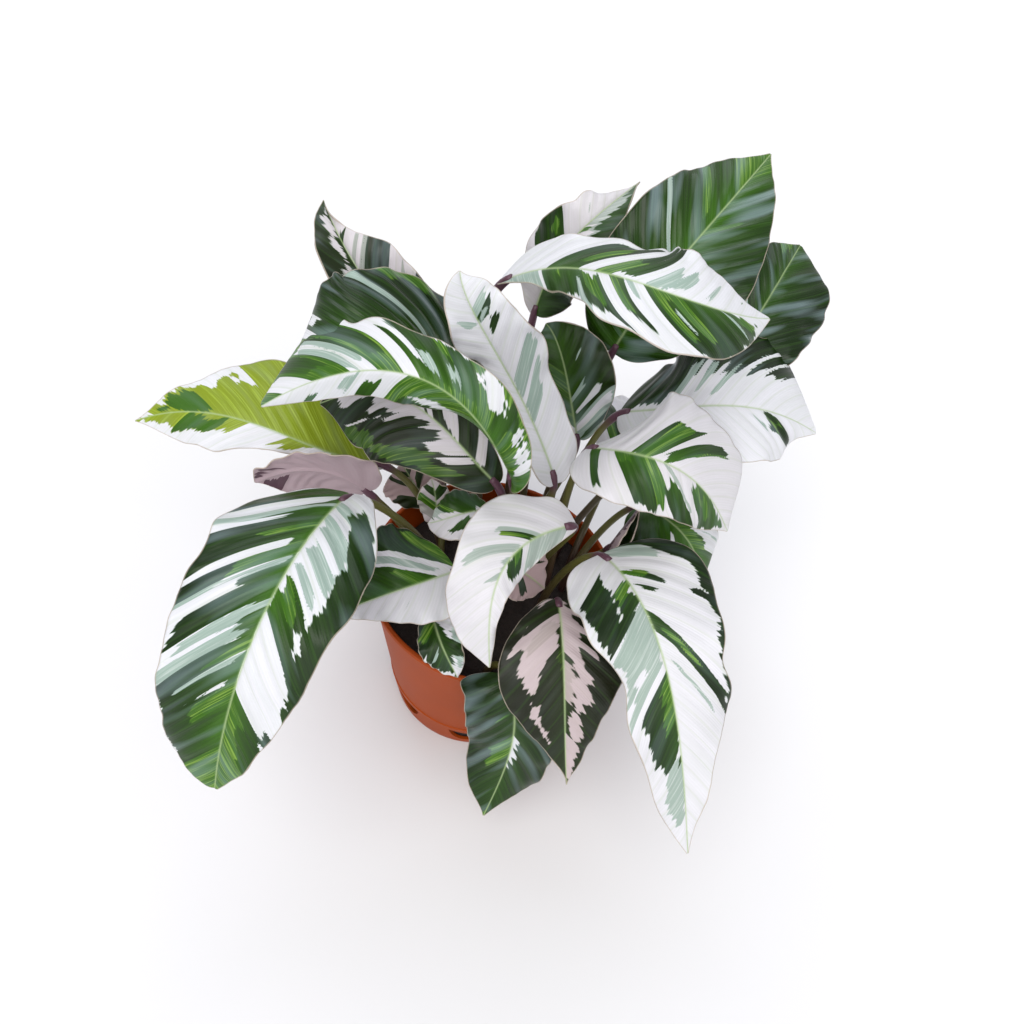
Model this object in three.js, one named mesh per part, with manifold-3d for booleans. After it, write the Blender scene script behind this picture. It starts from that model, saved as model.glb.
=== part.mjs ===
// A calathea with broad, white-splashed leaves in a plain plastic nursery pot.
// Millimetres, +Z up, -Y towards the front. The origin is the centre of the pot's flat base.
import * as THREE from 'three';
import { mergeVertices } from 'three/addons/utils/BufferGeometryUtils.js';
import Module from 'manifold-3d';

const wasm = await Module();
wasm.setup();

// ---- driving dimensions ----
const POT_HEIGHT = 98;
const POT_RIM_RADIUS = 60;
const POT_BASE_RADIUS = 43;
const POT_NECK_RADIUS = 58.2;      // outer radius of the wall where the rim's lip starts
const RIM_LIP = 4;                 // height of the lip round the rim
const FOOT_BAND = 22;              // up to here the wall stands FOOT_STEP proud
const FOOT_STEP = 0.6;
const POT_WALL = 1.5;
const POT_FLOOR = 2;
const POT_SIDES = 40;
// Drainage openings round the foot: straight on top, bowed below.
const SLOT = { count: 8, first: 230, top: 18, width: 17, height: 12, depth: 12 };

const SOIL_TOP = 84;
const SOIL_BOTTOM = POT_FLOOR + 0.3;
const SOIL_LUMP = 1.6;             // how far the soil's surface rises and falls
const SOIL_SIDES = 28;
const SOIL_RINGS = [0.3, 0.6, 0.85, 0.97];
const CLEARANCE = 0.4;             // between the soil and the pot
const HOLE_RADIUS = 3.8;           // of the holes in the soil that the stems stand in

const FOOT_DEPTH = 9;              // how deep a stem stands in the soil
const FOOT_RADIUS = 2;
const STEM_RADIUS = 1.5;
const PULVINUS_RADIUS = 2;         // the swelling just under a blade
const PULVINUS_SPAN = [0.8, 0.98]; // shares of the stem's length between which it swells
const STEM_RISE = 0.45;            // share of its reach that a stem rises straight up
const STEM_NECK = 0.25;            // share of its reach that it runs in line with the midrib
const STEM_INTO = 0.05;            // how far along the midrib it ends
const STEM_SIDES = 6;
const STEM_STEPS = 8;

const BLADE = 0.8;                 // thickness of a blade
const MIDRIB = 0.9;                // what the midrib adds to it
const BLADE_START = 0.004;         // where along the rib a blade starts and ends
const BLADE_END = 0.988;
const BLADE_CELLS = [9, 6];        // along and across a blade
const SMALL_CELLS = [6, 4];        // of one narrower than SMALL_HALF on each side
const SMALL_HALF = 17;
const POINT = 0.45;                // how drawn out a blade's tip is, where its leaf doesn't say
const CROWD = 1.3;                 // above 1 the blade's rows crowd towards its round base
const RIGHT_SHIFT = 0.37;          // how far the right margin's waves run ahead of the left's

// ---- the leaves ----
// rib: four points of the midrib, at its start, thirds and tip.
// half: width of the left and right half of the blade, near its base, middle and tip.
// face: which way the upper side looks, at the base and at the tip.
// cup, curl: degrees by which each half leaves the rib and goes on bending, left and right.
// wave: height, number along the blade and phase of the margin's waves.
// point: how drawn out the tip is. foot: where the stem leaves the soil.
const LEAVES = {
  front_left: {
    rib: [[-65, -20, 156], [-71, -76, 172], [-77, -112, 150], [-81, -132, 108]],
    half: [[32, 31, 20], [42, 33, 28]], face: [[-0.1, -0.3, 1], [-0.1, -0.9, 0.6]],
    cup: [10, 8], curl: [-25, -15], wave: [2, 2.5, 0.1], point: 0.1, foot: [-24, -4],
  },
  left_low: {
    rib: [[-61, 22, 132], [-94, 10, 146], [-131, 10, 152], [-173, 5, 140]],
    half: [[8, 13, 24], [30, 33, 17]], face: [[0, -0.2, 1], [0.1, -0.3, 1]],
    cup: [-25, 15], curl: [10, -10], wave: [2, 2, 0], foot: [-28, 14],
  },
  left_arch: {
    rib: [[-1, -1, 165], [-17, -16, 206], [-49, -16, 222], [-104, -14, 186]],
    half: [[22, 17, 16], [16, 20, 34]], face: [[-0.3, -0.5, 0.8], [-0.5, -0.3, 0.8]],
    cup: [-62, 5], curl: [-15, -15], wave: [2, 2.5, 0], foot: [5, -3],
  },
  left_under: {
    rib: [[-7, 3, 156], [-31, 10, 172], [-58, 19, 178], [-91, 17, 165]],
    half: [[19, 27, 42], [14, 16, 24]], face: [[-0.2, -0.5, 1], [-0.5, -0.5, 1]],
    cup: [0, 10], curl: [-20, -20], wave: [1.5, 2, 0], foot: [-9, 10],
  },
  centre_white: {
    rib: [[18, 17, 150], [-6, 21, 192], [-26, 17, 225], [-37, 21, 244]],
    half: [[12, 8, 18], [18, 17, 17]], face: [[0.2, -1, 0.4], [0.2, -1, 0.3]],
    cup: [40, 0], curl: [-20, -10], wave: [3, 1.5, 0], foot: [8, 14],
  },
  back_left_dark: {
    rib: [[-32, 56, 169], [-50, 31, 203], [-69, 8, 219], [-96, 7, 198]],
    half: [[11, 15, 18], [30, 27, 36]], face: [[0.1, -0.6, 0.8], [-0.4, -0.4, 0.8]],
    cup: [-20, 5], curl: [-30, -15], wave: [2, 2, 0], foot: [-14, 24],
  },
  back_left_tall: {
    rib: [[-53, 69, 163], [-71, 58, 190], [-90, 62, 210], [-110, 85, 221]],
    half: [[18, 16, 20], [25, 19, 5]], face: [[0.4, -1, 0.3], [0.4, -1, 0.3]],
    cup: [50, 25], curl: [-10, -20], wave: [2, 2, 0], foot: [-20, 34],
  },
  right_arch: {
    rib: [[-24, 41, 229], [7, 19, 257], [40, 6, 263], [80, 38, 243]],
    half: [[34, 27, 30], [12, 20, 26]], face: [[-0.2, -0.3, 1], [0.2, -0.4, 1]],
    cup: [0, 5], curl: [-25, -20], wave: [4, 1.5, 0], foot: [4, 38],
  },
  back_right_big: {
    rib: [[29, 67, 190], [38, 69, 222], [54, 91, 245], [79, 147, 258]],
    half: [[28, 31, 36], [32, 33, 30]], face: [[-0.1, -1, 0.4], [0, -0.4, 1]],
    cup: [15, 15], curl: [-20, -20], wave: [2, 2, 0], foot: [15, 38],
  },
  back_right_far: {
    rib: [[81, 89, 157], [90, 101, 185], [100, 124, 203], [115, 167, 209]],
    half: [[34, 34, 36], [25, 28, 42]], face: [[0.1, -1, 0.4], [0.3, -0.4, 1]],
    cup: [12, 12], curl: [-20, -20], wave: [3, 2, 0], foot: [28, 30],
  },
  back_tip_fold: {
    rib: [[-10, 93, 182], [-5, 93, 212], [6, 93, 235], [24, 125, 242]],
    half: [[14, 17, 8], [22, 20, 14]], face: [[-0.2, -0.8, 0.6], [-0.2, -0.5, 0.8]],
    cup: [25, 30], curl: [-20, -20], wave: [2, 2, 0], foot: [-2, 45],
  },
  centre_back: {
    rib: [[24, 50, 149], [15, 51, 174], [6, 54, 194], [-3, 59, 203]],
    half: [[20, 22, 22], [19, 22, 18]], face: [[0, -1, 0.3], [0, -1, 0.5]],
    cup: [20, 20], curl: [-20, -20], wave: [2, 2, 0], foot: [9, 28],
  },
  right_white: {
    rib: [[39, 53, 169], [67, 45, 188], [98, 58, 185], [137, 78, 163]],
    half: [[40, 33, 58], [24, 25, 34]], face: [[-0.2, -0.3, 1], [0.5, -0.3, 1]],
    cup: [5, 0], curl: [-25, -30], wave: [2.5, 2.5, 0.2], point: 0, foot: [22, 20],
  },
  right_mid: {
    rib: [[27, 18, 176], [47, -1, 196], [70, 1, 187], [95, 8, 155]],
    half: [[36, 31, 42], [28, 20, 24]], face: [[0.1, -0.4, 1], [0.6, -0.5, 0.8]],
    cup: [10, -5], curl: [-25, -20], wave: [1.5, 2, 0.4], foot: [26, 6],
  },
  front_white: {
    rib: [[29, -12, 160], [6, -41, 168], [2, -61, 158], [7, -71, 132]],
    half: [[11, 12, 9], [31, 21, 21]], face: [[0, -0.3, 1], [0, -1, 0.4]],
    cup: [-20, 5], curl: [-30, -20], wave: [2, 2, 0], foot: [12, -2],
  },
  front_right_big: {
    rib: [[42, -16, 150], [63, -50, 158], [82, -80, 136], [101, -110, 92]],
    half: [[44, 27, 15], [36, 18, 22]], face: [[0.1, -0.4, 1], [0.3, -0.9, 0.6]],
    cup: [5, 5], curl: [-20, -15], wave: [4, 2.5, 0.1], foot: [24, -8],
  },
  front_pink: {
    rib: [[29, -32, 133], [35, -58, 132], [42, -75, 112], [51, -88, 80]],
    half: [[34, 22, 12], [24, 26, 12]], face: [[0.1, -0.5, 1], [0.1, -1, 0.3]],
    cup: [10, 10], curl: [-20, -20], wave: [1, 2, 0], foot: [32, -26],
  },
  front_glossy: {
    rib: [[15, -58, 110], [22, -72, 101], [25, -77, 69], [21, -90, 28]],
    half: [[20, 19, 20], [31, 21, 24]], face: [[0, -0.7, 0.7], [0, -1, 0.2]],
    cup: [5, 5], curl: [-20, -20], wave: [2, 2, 0], foot: [6, -45],
  },
  left_inner: {
    rib: [[-16, -21, 122], [-31, -39, 130], [-47, -48, 125], [-66, -50, 106]],
    half: [[24, 14, 8], [36, 28, 22]], face: [[-0.1, -0.3, 1], [-0.4, -0.4, 0.8]],
    cup: [-5, 10], curl: [-10, -10], wave: [1, 2, 0], foot: [0, -14],
  },
  pot_small: {
    rib: [[-23, -38, 112], [-17, -51, 114], [-11, -58, 110], [-5, -60, 99]],
    half: [[9, 9, 9], [10, 10, 10]], face: [[0, -0.6, 0.8], [0, -1, 0.4]],
    cup: [15, 15], curl: [-20, -20], wave: [1, 2, 0], foot: [-20, -30],
  },
  left_mauve: {
    rib: [[-65, 6, 128], [-80, 4, 138], [-97, 1, 138], [-116, -2, 126]],
    half: [[26, 26, 26], [26, 26, 26]], face: [[-0.2, 1, 0.2], [-0.2, 1, 0.2]],
    cup: [5, 5], curl: [-20, -20], wave: [1, 2, 0], foot: [-35, 4],
  },
  right_low: {
    rib: [[59, 26, 140], [71, 15, 146], [84, 11, 138], [97, 9, 118]],
    half: [[26, 26, 26], [26, 26, 26]], face: [[0.1, -0.4, 1], [0.6, -0.4, 0.7]],
    cup: [5, 5], curl: [-20, -20], wave: [1, 2, 0], foot: [34, 10],
  },
  inner_striped: {
    rib: [[-39, 27, 106], [-46, 27, 114], [-51, 28, 121], [-56, 30, 127]],
    half: [[14, 16, 14], [16, 18, 16]], face: [[0, -1, 0.4], [0, -1, 0.4]],
    cup: [15, 15], curl: [-20, -20], wave: [1, 2, 0], foot: [-26, 24],
  },
  inner_small: {
    rib: [[-31, 16, 104], [-34, 17, 114], [-36, 18, 124], [-39, 20, 132]],
    half: [[8, 9, 9], [9, 9, 9]], face: [[0, -1, 0.4], [0, -1, 0.4]],
    cup: [15, 15], curl: [-20, -20], wave: [1, 2, 0], foot: [-28, 6],
  },
  inner_edge: {
    rib: [[-10, 16, 122], [-18, 10, 126], [-27, 5, 124], [-36, 6, 116]],
    half: [[14, 14, 12], [12, 12, 12]], face: [[0, -0.3, 1], [0, -0.3, 1]],
    cup: [15, 15], curl: [-20, -20], wave: [1, 2, 0], foot: [-3, 20],
  },
  rolled: {
    rib: [[50, 11, 123], [51, 7, 137], [53, 6, 149], [55, 7, 157]],
    half: [[14, 14, 14], [14, 14, 14]], face: [[0, -1, 0.4], [0, -1, 0.4]],
    cup: [50, 50], curl: [60, 60], wave: [0.5, 2, 0], foot: [38, 20],
  },
  front_shade: {
    rib: [[4, -18, 131], [10, -23, 135], [16, -24, 133], [23, -23, 126]],
    half: [[13, 13, 13], [13, 13, 13]], face: [[0, -0.5, 1], [0, -0.5, 1]],
    cup: [15, 15], curl: [-20, -20], wave: [1, 2, 0], foot: [-2, -24],
  },
  back_low_middle: {
    rib: [[2, 76, 125], [-8, 106, 138], [-20, 130, 120], [-30, 144, 84]],
    half: [[32, 32, 24], [32, 32, 24]], face: [[0, 0.3, 1], [0, 1, 0.3]],
    cup: [10, 10], curl: [-25, -25], wave: [2, 2.5, 0.2], foot: [6, 46],
  },
  back_low_left: {
    rib: [[-44, 62, 118], [-62, 86, 130], [-80, 104, 116], [-96, 116, 84]],
    half: [[28, 30, 22], [28, 30, 22]], face: [[-0.2, 0.2, 1], [-0.6, 0.8, 0.4]],
    cup: [10, 10], curl: [-25, -25], wave: [2, 2.5, 0.5], foot: [-32, 32],
  },
  back_low_right: {
    rib: [[48, 72, 116], [60, 98, 126], [76, 118, 110], [90, 130, 76]],
    half: [[28, 30, 22], [28, 30, 22]], face: [[0.1, 0.2, 1], [0.5, 0.8, 0.4]],
    cup: [10, 10], curl: [-25, -25], wave: [2, 2.5, 0.8], foot: [36, 24],
  },
};

// ---- small tools ----
const vec = (p) => new THREE.Vector3(...p);

function material(color, roughness) {
  return new THREE.MeshStandardMaterial({ color, roughness, metalness: 0 });
}

function solid(geometry) {
  const bare = geometry.clone();
  bare.deleteAttribute('normal');
  bare.deleteAttribute('uv');
  const merged = mergeVertices(bare, 1e-4);
  return new wasm.Manifold(new wasm.Mesh({
    numProp: 3,
    vertProperties: merged.attributes.position.array,
    triVerts: new Uint32Array(merged.index.array),
  }));
}

function geometryOf(manifold) {
  const mesh = manifold.getMesh();
  const geometry = new THREE.BufferGeometry();
  geometry.setAttribute('position', new THREE.BufferAttribute(mesh.vertProperties, 3));
  geometry.setIndex(new THREE.BufferAttribute(mesh.triVerts, 1));
  geometry.computeVertexNormals();
  return geometry;
}

function fromTriangles(points, triangles) {
  const geometry = new THREE.BufferGeometry();
  const numbers = points.flatMap((p) => [p.x, p.y, p.z]);
  geometry.setAttribute('position', new THREE.Float32BufferAttribute(numbers, 3));
  geometry.setIndex(triangles.flat());
  return geometry;
}

// ---- blades ----
// The cubic through four points at t = 0, 1/3, 2/3 and 1.
function throughFour(points, t) {
  const at = [0, 1 / 3, 2 / 3, 1];
  const sum = new THREE.Vector3();
  points.forEach((point, i) => {
    let weight = 1;
    at.forEach((other, j) => {
      if (j !== i) weight *= (t - other) / (at[i] - other);
    });
    sum.addScaledVector(vec(point), weight);
  });
  return sum;
}

// A blade's outline for half widths of 1: broad at the base, drawn out into a tip as far as point says.
function outline(leaf, t) {
  return Math.sin(Math.PI * t ** 0.9) ** (0.45 + 0.2 * t + (leaf.point ?? POINT) * t ** 8);
}

// The parabola through three widths given at t = 0.15, 0.5 and 0.85.
function widthAt([base, middle, tip], t) {
  const s = (t - 0.5) / 0.35;
  return middle + (tip - base) / 2 * s + ((base + tip) / 2 - middle) * s * s;
}

// The point of a leaf's middle surface at t along the rib and side -1 (left margin) to 1 (right).
function surfacePoint(leaf, t, side) {
  const right = side > 0 ? 1 : 0;
  const across = Math.abs(side);
  const tangent = throughFour(leaf.rib, t + 1e-3).sub(throughFour(leaf.rib, t - 1e-3)).normalize();
  const facing = vec(leaf.face[0]).normalize().lerp(vec(leaf.face[1]).normalize(), t);
  const toRight = tangent.clone().cross(facing).normalize();
  const normal = toRight.clone().cross(tangent);
  const width = widthAt(leaf.half[right], t) * outline(leaf, t);
  const cup = THREE.MathUtils.degToRad(leaf.cup[right]);
  const curl = THREE.MathUtils.degToRad(leaf.curl[right]);
  const out = width * (Math.sin(cup + curl * across) - Math.sin(cup)) / curl;
  const [height, count, phase] = leaf.wave;
  const ripple = Math.sin(2 * Math.PI * (count * t + phase + RIGHT_SHIFT * right));
  const up = width * (Math.cos(cup) - Math.cos(cup + curl * across)) / curl
    + height * across ** 2 * ripple * Math.min(1, 1.5 * outline(leaf, t));
  return throughFour(leaf.rib, t).addScaledVector(toRight, Math.sign(side) * out).addScaledVector(normal, up);
}

// Square to the surface, from its slopes along and across.
function surfaceNormal(leaf, t, side) {
  const step = 0.01;
  const near = THREE.MathUtils.clamp(t, 2 * step, 1 - 2 * step);
  const along = surfacePoint(leaf, near + step, side).sub(surfacePoint(leaf, near - step, side));
  const over = surfacePoint(leaf, near, Math.min(1, side + step))
    .sub(surfacePoint(leaf, near, Math.max(-1, side - step)));
  return over.cross(along).normalize();
}

// A closed thin grid: upper and lower side split alike, joined by a strip round the margin.
function bladeSolid(leaf) {
  const upper = [];
  const lower = [];
  const small = leaf.half[0][1] < SMALL_HALF && leaf.half[1][1] < SMALL_HALF;
  const [lengthways, across] = small ? SMALL_CELLS : BLADE_CELLS;
  for (let i = 0; i <= lengthways; i += 1) {
    const t = BLADE_START + (BLADE_END - BLADE_START) * (i / lengthways) ** CROWD;
    for (let j = 0; j <= across; j += 1) {
      const side = 2 * j / across - 1;
      const half = (BLADE + MIDRIB * (1 - Math.abs(side)) ** 4) / 2;
      const point = surfacePoint(leaf, t, side);
      const normal = surfaceNormal(leaf, t, side);
      upper.push(point.clone().addScaledVector(normal, half));
      lower.push(point.clone().addScaledVector(normal, -half));
    }
  }
  const row = across + 1;
  const under = upper.length;
  const triangles = [];
  for (let i = 0; i < lengthways; i += 1) {
    for (let j = 0; j < across; j += 1) {
      const a = i * row + j;
      const [b, c, d] = [a + 1, a + row, a + row + 1];
      triangles.push([a, b, d], [a, d, c]);
      triangles.push([under + a, under + d, under + b], [under + a, under + c, under + d]);
    }
  }
  const margin = [];
  for (let j = 0; j < across; j += 1) margin.push(j);
  for (let i = 0; i < lengthways; i += 1) margin.push(i * row + across);
  for (let j = across; j > 0; j -= 1) margin.push(lengthways * row + j);
  for (let i = lengthways; i > 0; i -= 1) margin.push(i * row);
  margin.forEach((a, k) => {
    const b = margin[(k + 1) % margin.length];
    triangles.push([a, under + a, under + b], [a, under + b, b]);
  });
  return solid(fromTriangles([...upper, ...lower], triangles));
}

// ---- stems ----
// From the foot in the soil, out and up, into the start of the midrib.
function stemCurve(leaf) {
  const foot = new THREE.Vector3(...leaf.foot, SOIL_TOP - FOOT_DEPTH);
  const end = throughFour(leaf.rib, STEM_INTO);
  const into = end.clone().sub(throughFour(leaf.rib, 0)).normalize();
  const reach = end.distanceTo(foot);
  const rise = foot.clone().add(new THREE.Vector3(0, 0, reach * STEM_RISE));
  const neck = end.clone().addScaledVector(into, -reach * STEM_NECK);
  return new THREE.CubicBezierCurve3(foot, rise, neck, end);
}

function stemRadius(t) {
  const taper = THREE.MathUtils.lerp(FOOT_RADIUS, STEM_RADIUS, t);
  return t > PULVINUS_SPAN[0] && t < PULVINUS_SPAN[1] ? PULVINUS_RADIUS : taper;
}

function stemSolid(leaf) {
  const curve = stemCurve(leaf);
  const rings = [];
  for (let i = 0; i <= STEM_STEPS; i += 1) {
    const t = i / STEM_STEPS;
    const along = curve.getTangentAt(t);
    const toRight = new THREE.Vector3(0, 1, 0).cross(along);
    if (toRight.length() < 0.3) toRight.set(1, 0, 0).cross(along);
    toRight.normalize();
    const up = along.clone().cross(toRight);
    const centre = curve.getPointAt(t);
    const radius = stemRadius(t);
    for (let k = 0; k < STEM_SIDES; k += 1) {
      const angle = 2 * Math.PI * k / STEM_SIDES;
      rings.push(centre.clone().addScaledVector(toRight, radius * Math.cos(angle))
        .addScaledVector(up, radius * Math.sin(angle)));
    }
  }
  const triangles = [];
  for (let i = 0; i < STEM_STEPS; i += 1) {
    for (let k = 0; k < STEM_SIDES; k += 1) {
      const a = i * STEM_SIDES + k;
      const b = i * STEM_SIDES + (k + 1) % STEM_SIDES;
      triangles.push([a, b, b + STEM_SIDES], [a, b + STEM_SIDES, a + STEM_SIDES]);
    }
  }
  const last = STEM_STEPS * STEM_SIDES;
  for (let k = 1; k < STEM_SIDES - 1; k += 1) {
    triangles.push([0, k + 1, k], [last, last + k, last + k + 1]);
  }
  return solid(fromTriangles(rings, triangles));
}

function leafMesh(name, leaf) {
  const whole = bladeSolid(leaf).add(stemSolid(leaf));
  const mesh = new THREE.Mesh(geometryOf(whole), material(0x4f7d3a, 0.35));
  mesh.name = `leaf_${name}`;
  return mesh;
}

// ---- pot ----
// Outer radius of the wall at a height, without the step and the rim.
function wallRadius(z) {
  return THREE.MathUtils.lerp(POT_BASE_RADIUS, POT_NECK_RADIUS, z / (POT_HEIGHT - RIM_LIP));
}

function potMesh() {
  const neck = POT_HEIGHT - RIM_LIP;
  const profile = [
    [0, 0], [POT_BASE_RADIUS - 1, 0], [POT_BASE_RADIUS, 1],
    [wallRadius(FOOT_BAND) + FOOT_STEP, FOOT_BAND], [wallRadius(FOOT_BAND), FOOT_BAND + 0.8],
    [POT_NECK_RADIUS, neck], [POT_RIM_RADIUS - 0.6, neck + 0.8],
    [POT_RIM_RADIUS, POT_HEIGHT - 1], [POT_RIM_RADIUS - 1, POT_HEIGHT],
    [POT_RIM_RADIUS - 1.8, POT_HEIGHT], [POT_RIM_RADIUS - 2.4, POT_HEIGHT - 0.8],
    [POT_NECK_RADIUS - POT_WALL, neck - 2],
    [wallRadius(POT_FLOOR) - POT_WALL, POT_FLOOR], [0, POT_FLOOR],
  ].map(([r, z]) => new THREE.Vector2(r, z));
  const lathe = new THREE.LatheGeometry(profile, POT_SIDES);
  lathe.rotateX(Math.PI / 2);
  let pot = solid(lathe);
  const opening = new THREE.Shape();
  opening.moveTo(-SLOT.width / 2, 0);
  opening.ellipse(SLOT.width / 2, 0, SLOT.width / 2, SLOT.height, Math.PI, 2 * Math.PI);
  for (let i = 0; i < SLOT.count; i += 1) {
    const angle = THREE.MathUtils.degToRad(SLOT.first) + 2 * Math.PI * i / SLOT.count;
    const cutter = new THREE.ExtrudeGeometry(opening, {
      depth: SLOT.depth,
      bevelEnabled: false,
      curveSegments: 6,
    });
    cutter.rotateX(Math.PI / 2).rotateZ(Math.PI / 2);
    cutter.translate(wallRadius(SLOT.top) - SLOT.depth / 2, 0, SLOT.top);
    cutter.rotateZ(angle);
    pot = pot.subtract(solid(cutter));
  }
  const mesh = new THREE.Mesh(geometryOf(pot), material(0xb4593a, 0.5));
  mesh.name = 'pot';
  return mesh;
}

// ---- soil ----
// A lumpy surface from a few long ripples.
function soilHeight(x, y) {
  return SOIL_TOP + SOIL_LUMP * 0.5 * (Math.sin(x / 7 + 1) * Math.cos(y / 6) + Math.sin((x + y) / 11));
}

function soilMesh() {
  const radiusAt = (z) => wallRadius(z) - POT_WALL - CLEARANCE;
  const shoulder = SOIL_TOP - 2 * SOIL_LUMP;
  const ring = (r, z) => Array.from({ length: SOIL_SIDES }, (_, k) => {
    const angle = 2 * Math.PI * k / SOIL_SIDES;
    const [x, y] = [r * Math.cos(angle), r * Math.sin(angle)];
    return new THREE.Vector3(x, y, z ?? soilHeight(x, y));
  });
  const points = [
    new THREE.Vector3(0, 0, soilHeight(0, 0)),
    ...SOIL_RINGS.flatMap((share) => ring(share * radiusAt(shoulder))),
    ...ring(radiusAt(shoulder), shoulder),
    ...ring(radiusAt(SOIL_BOTTOM), SOIL_BOTTOM),
    new THREE.Vector3(0, 0, SOIL_BOTTOM),
  ];
  const triangles = [];
  const bottom = points.length - 1;
  const last = SOIL_RINGS.length + 1;
  for (let k = 0; k < SOIL_SIDES; k += 1) {
    const next = (k + 1) % SOIL_SIDES;
    triangles.push([0, 1 + k, 1 + next]);
    for (let i = 0; i < last; i += 1) {
      const a = 1 + i * SOIL_SIDES + k;
      const b = 1 + i * SOIL_SIDES + next;
      triangles.push([a, a + SOIL_SIDES, b + SOIL_SIDES], [a, b + SOIL_SIDES, b]);
    }
    triangles.push([bottom, 1 + last * SOIL_SIDES + next, 1 + last * SOIL_SIDES + k]);
  }
  let soil = solid(fromTriangles(points, triangles));
  for (const leaf of Object.values(LEAVES)) {
    const hole = new THREE.CylinderGeometry(HOLE_RADIUS, HOLE_RADIUS, 2 * FOOT_DEPTH, 7);
    hole.rotateX(Math.PI / 2);
    hole.translate(...leaf.foot, SOIL_TOP - CLEARANCE);
    soil = soil.subtract(solid(hole));
  }
  const mesh = new THREE.Mesh(geometryOf(soil), material(0x2a211b, 0.95));
  mesh.name = 'soil';
  return mesh;
}

// ---- the plant in its pot ----
const calathea = new THREE.Group();
calathea.name = 'potted_calathea';
calathea.add(potMesh(), soilMesh());
Object.entries(LEAVES).forEach(([name, leaf]) => calathea.add(leafMesh(name, leaf)));

export default calathea;
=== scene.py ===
import bpy
import numpy as np
from mathutils import Matrix, Vector


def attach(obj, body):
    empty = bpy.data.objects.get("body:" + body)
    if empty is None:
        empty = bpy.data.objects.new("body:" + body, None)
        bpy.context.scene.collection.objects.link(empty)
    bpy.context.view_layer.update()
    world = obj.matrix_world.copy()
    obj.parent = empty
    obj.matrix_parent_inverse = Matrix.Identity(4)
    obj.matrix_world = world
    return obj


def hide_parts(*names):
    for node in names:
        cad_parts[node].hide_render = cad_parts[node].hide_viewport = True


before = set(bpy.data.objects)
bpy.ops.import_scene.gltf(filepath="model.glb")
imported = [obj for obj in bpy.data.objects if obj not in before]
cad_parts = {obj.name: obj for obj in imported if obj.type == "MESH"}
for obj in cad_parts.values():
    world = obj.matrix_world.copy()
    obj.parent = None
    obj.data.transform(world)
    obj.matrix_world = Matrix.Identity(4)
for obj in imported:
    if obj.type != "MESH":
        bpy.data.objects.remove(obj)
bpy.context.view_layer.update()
print("frame loaded:", len(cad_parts), "nodes")

mm = 0.001


def linearColour(hexText):
    # sRGB to linear: c / 12.92 up to 0.04045, ((c + 0.055) / 1.055) ^ 2.4 above it
    parts = np.array([int(hexText[i:i + 2], 16) for i in (1, 3, 5)]) / 255
    linear = np.where(parts <= 0.04045, parts / 12.92, ((parts + 0.055) / 1.055) ** 2.4)
    return (*(float(c) for c in linear), 1.0)


def addNode(tree, kind, settings=None, sockets=None, out=0):
    # a socket takes a plain value, or another node's output, which is linked to it
    node = tree.nodes.new("ShaderNode" + kind)
    for name, value in (settings or {}).items():
        setattr(node, name, value)
    for name, value in (sockets or {}).items():
        if isinstance(value, bpy.types.NodeSocket):
            tree.links.new(value, node.inputs[name])
        else:
            node.inputs[name].default_value = value
    return node.outputs[out] if len(node.outputs) else node


def startMaterial(name):
    material = bpy.data.materials.new(name)
    material.use_nodes = True
    material.node_tree.nodes.clear()
    return material, material.node_tree


def meshPiece(name, points, faces, materials, materialIndex=None, attributes=None):
    # points in millimetres, faces as rows of point numbers, attributes as a value or a vector for each point
    mesh = bpy.data.meshes.new(name)
    mesh.from_pydata((points * mm).tolist(), [], faces)
    for material in materials:
        mesh.materials.append(material)
    if materialIndex is not None:
        mesh.polygons.foreach_set("material_index", materialIndex)
    for key, values in (attributes or {}).items():
        kind = "FLOAT_VECTOR" if values.ndim == 2 else "FLOAT"
        layer = mesh.attributes.new(key, kind, "POINT")
        layer.data.foreach_set("vector" if values.ndim == 2 else "value", values.astype(np.float32).ravel())
    mesh.polygons.foreach_set("use_smooth", np.ones(len(faces), bool))
    mesh.update()
    piece = bpy.data.objects.new(name, mesh)
    bpy.context.scene.collection.objects.link(piece)
    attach(piece, "root")
    return piece


def gridFaces(rows, columns, first=0, flip=False, wrap=False):
    # quads of a grid of rows by columns points, numbered row by row
    i, j = np.meshgrid(np.arange(rows - 1), np.arange(columns if wrap else columns - 1), indexing="ij")
    nextJ = (j + 1) % columns
    corners = [i * columns + j, i * columns + nextJ, (i + 1) * columns + nextJ, (i + 1) * columns + j]
    quads = np.stack(corners, -1).reshape(-1, 4) + first
    return quads[:, ::-1] if flip else quads


def unit(vectors):
    return vectors / np.maximum(np.linalg.norm(vectors, axis=-1, keepdims=True), 1e-9)


def throughFour(points, t):
    # the cubic through four points at t = 0, 1/3, 2/3 and 1
    at = np.array([0, 1 / 3, 2 / 3, 1])
    weights = [np.prod([(t - at[j]) / (at[i] - at[j]) for j in range(4) if j != i], axis=0) for i in range(4)]
    return np.stack(weights, -1) @ np.array(points, float)


def outline(t, point):
    # sin(pi t^0.9) to the power 0.45 + 0.2 t + point t^8: broad base, drawn-out tip
    t = np.clip(t, 1e-6, 1 - 1e-6)
    return np.sin(np.pi * t ** 0.9) ** (0.45 + 0.2 * t + point * t ** 8)


def widthAt(half, t):
    # the parabola through three half widths at t = 0.15, 0.5 and 0.85
    base, middle, tip = half
    s = (t - 0.5) / 0.35
    return middle + (tip - base) / 2 * s + ((base + tip) / 2 - middle) * s * s


def easeIn(share):
    return share * share * (3 - 2 * share)


trimStations = np.array([0, 0.08, 0.2, 0.35, 0.5, 0.65, 0.8, 0.92, 1])


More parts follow.
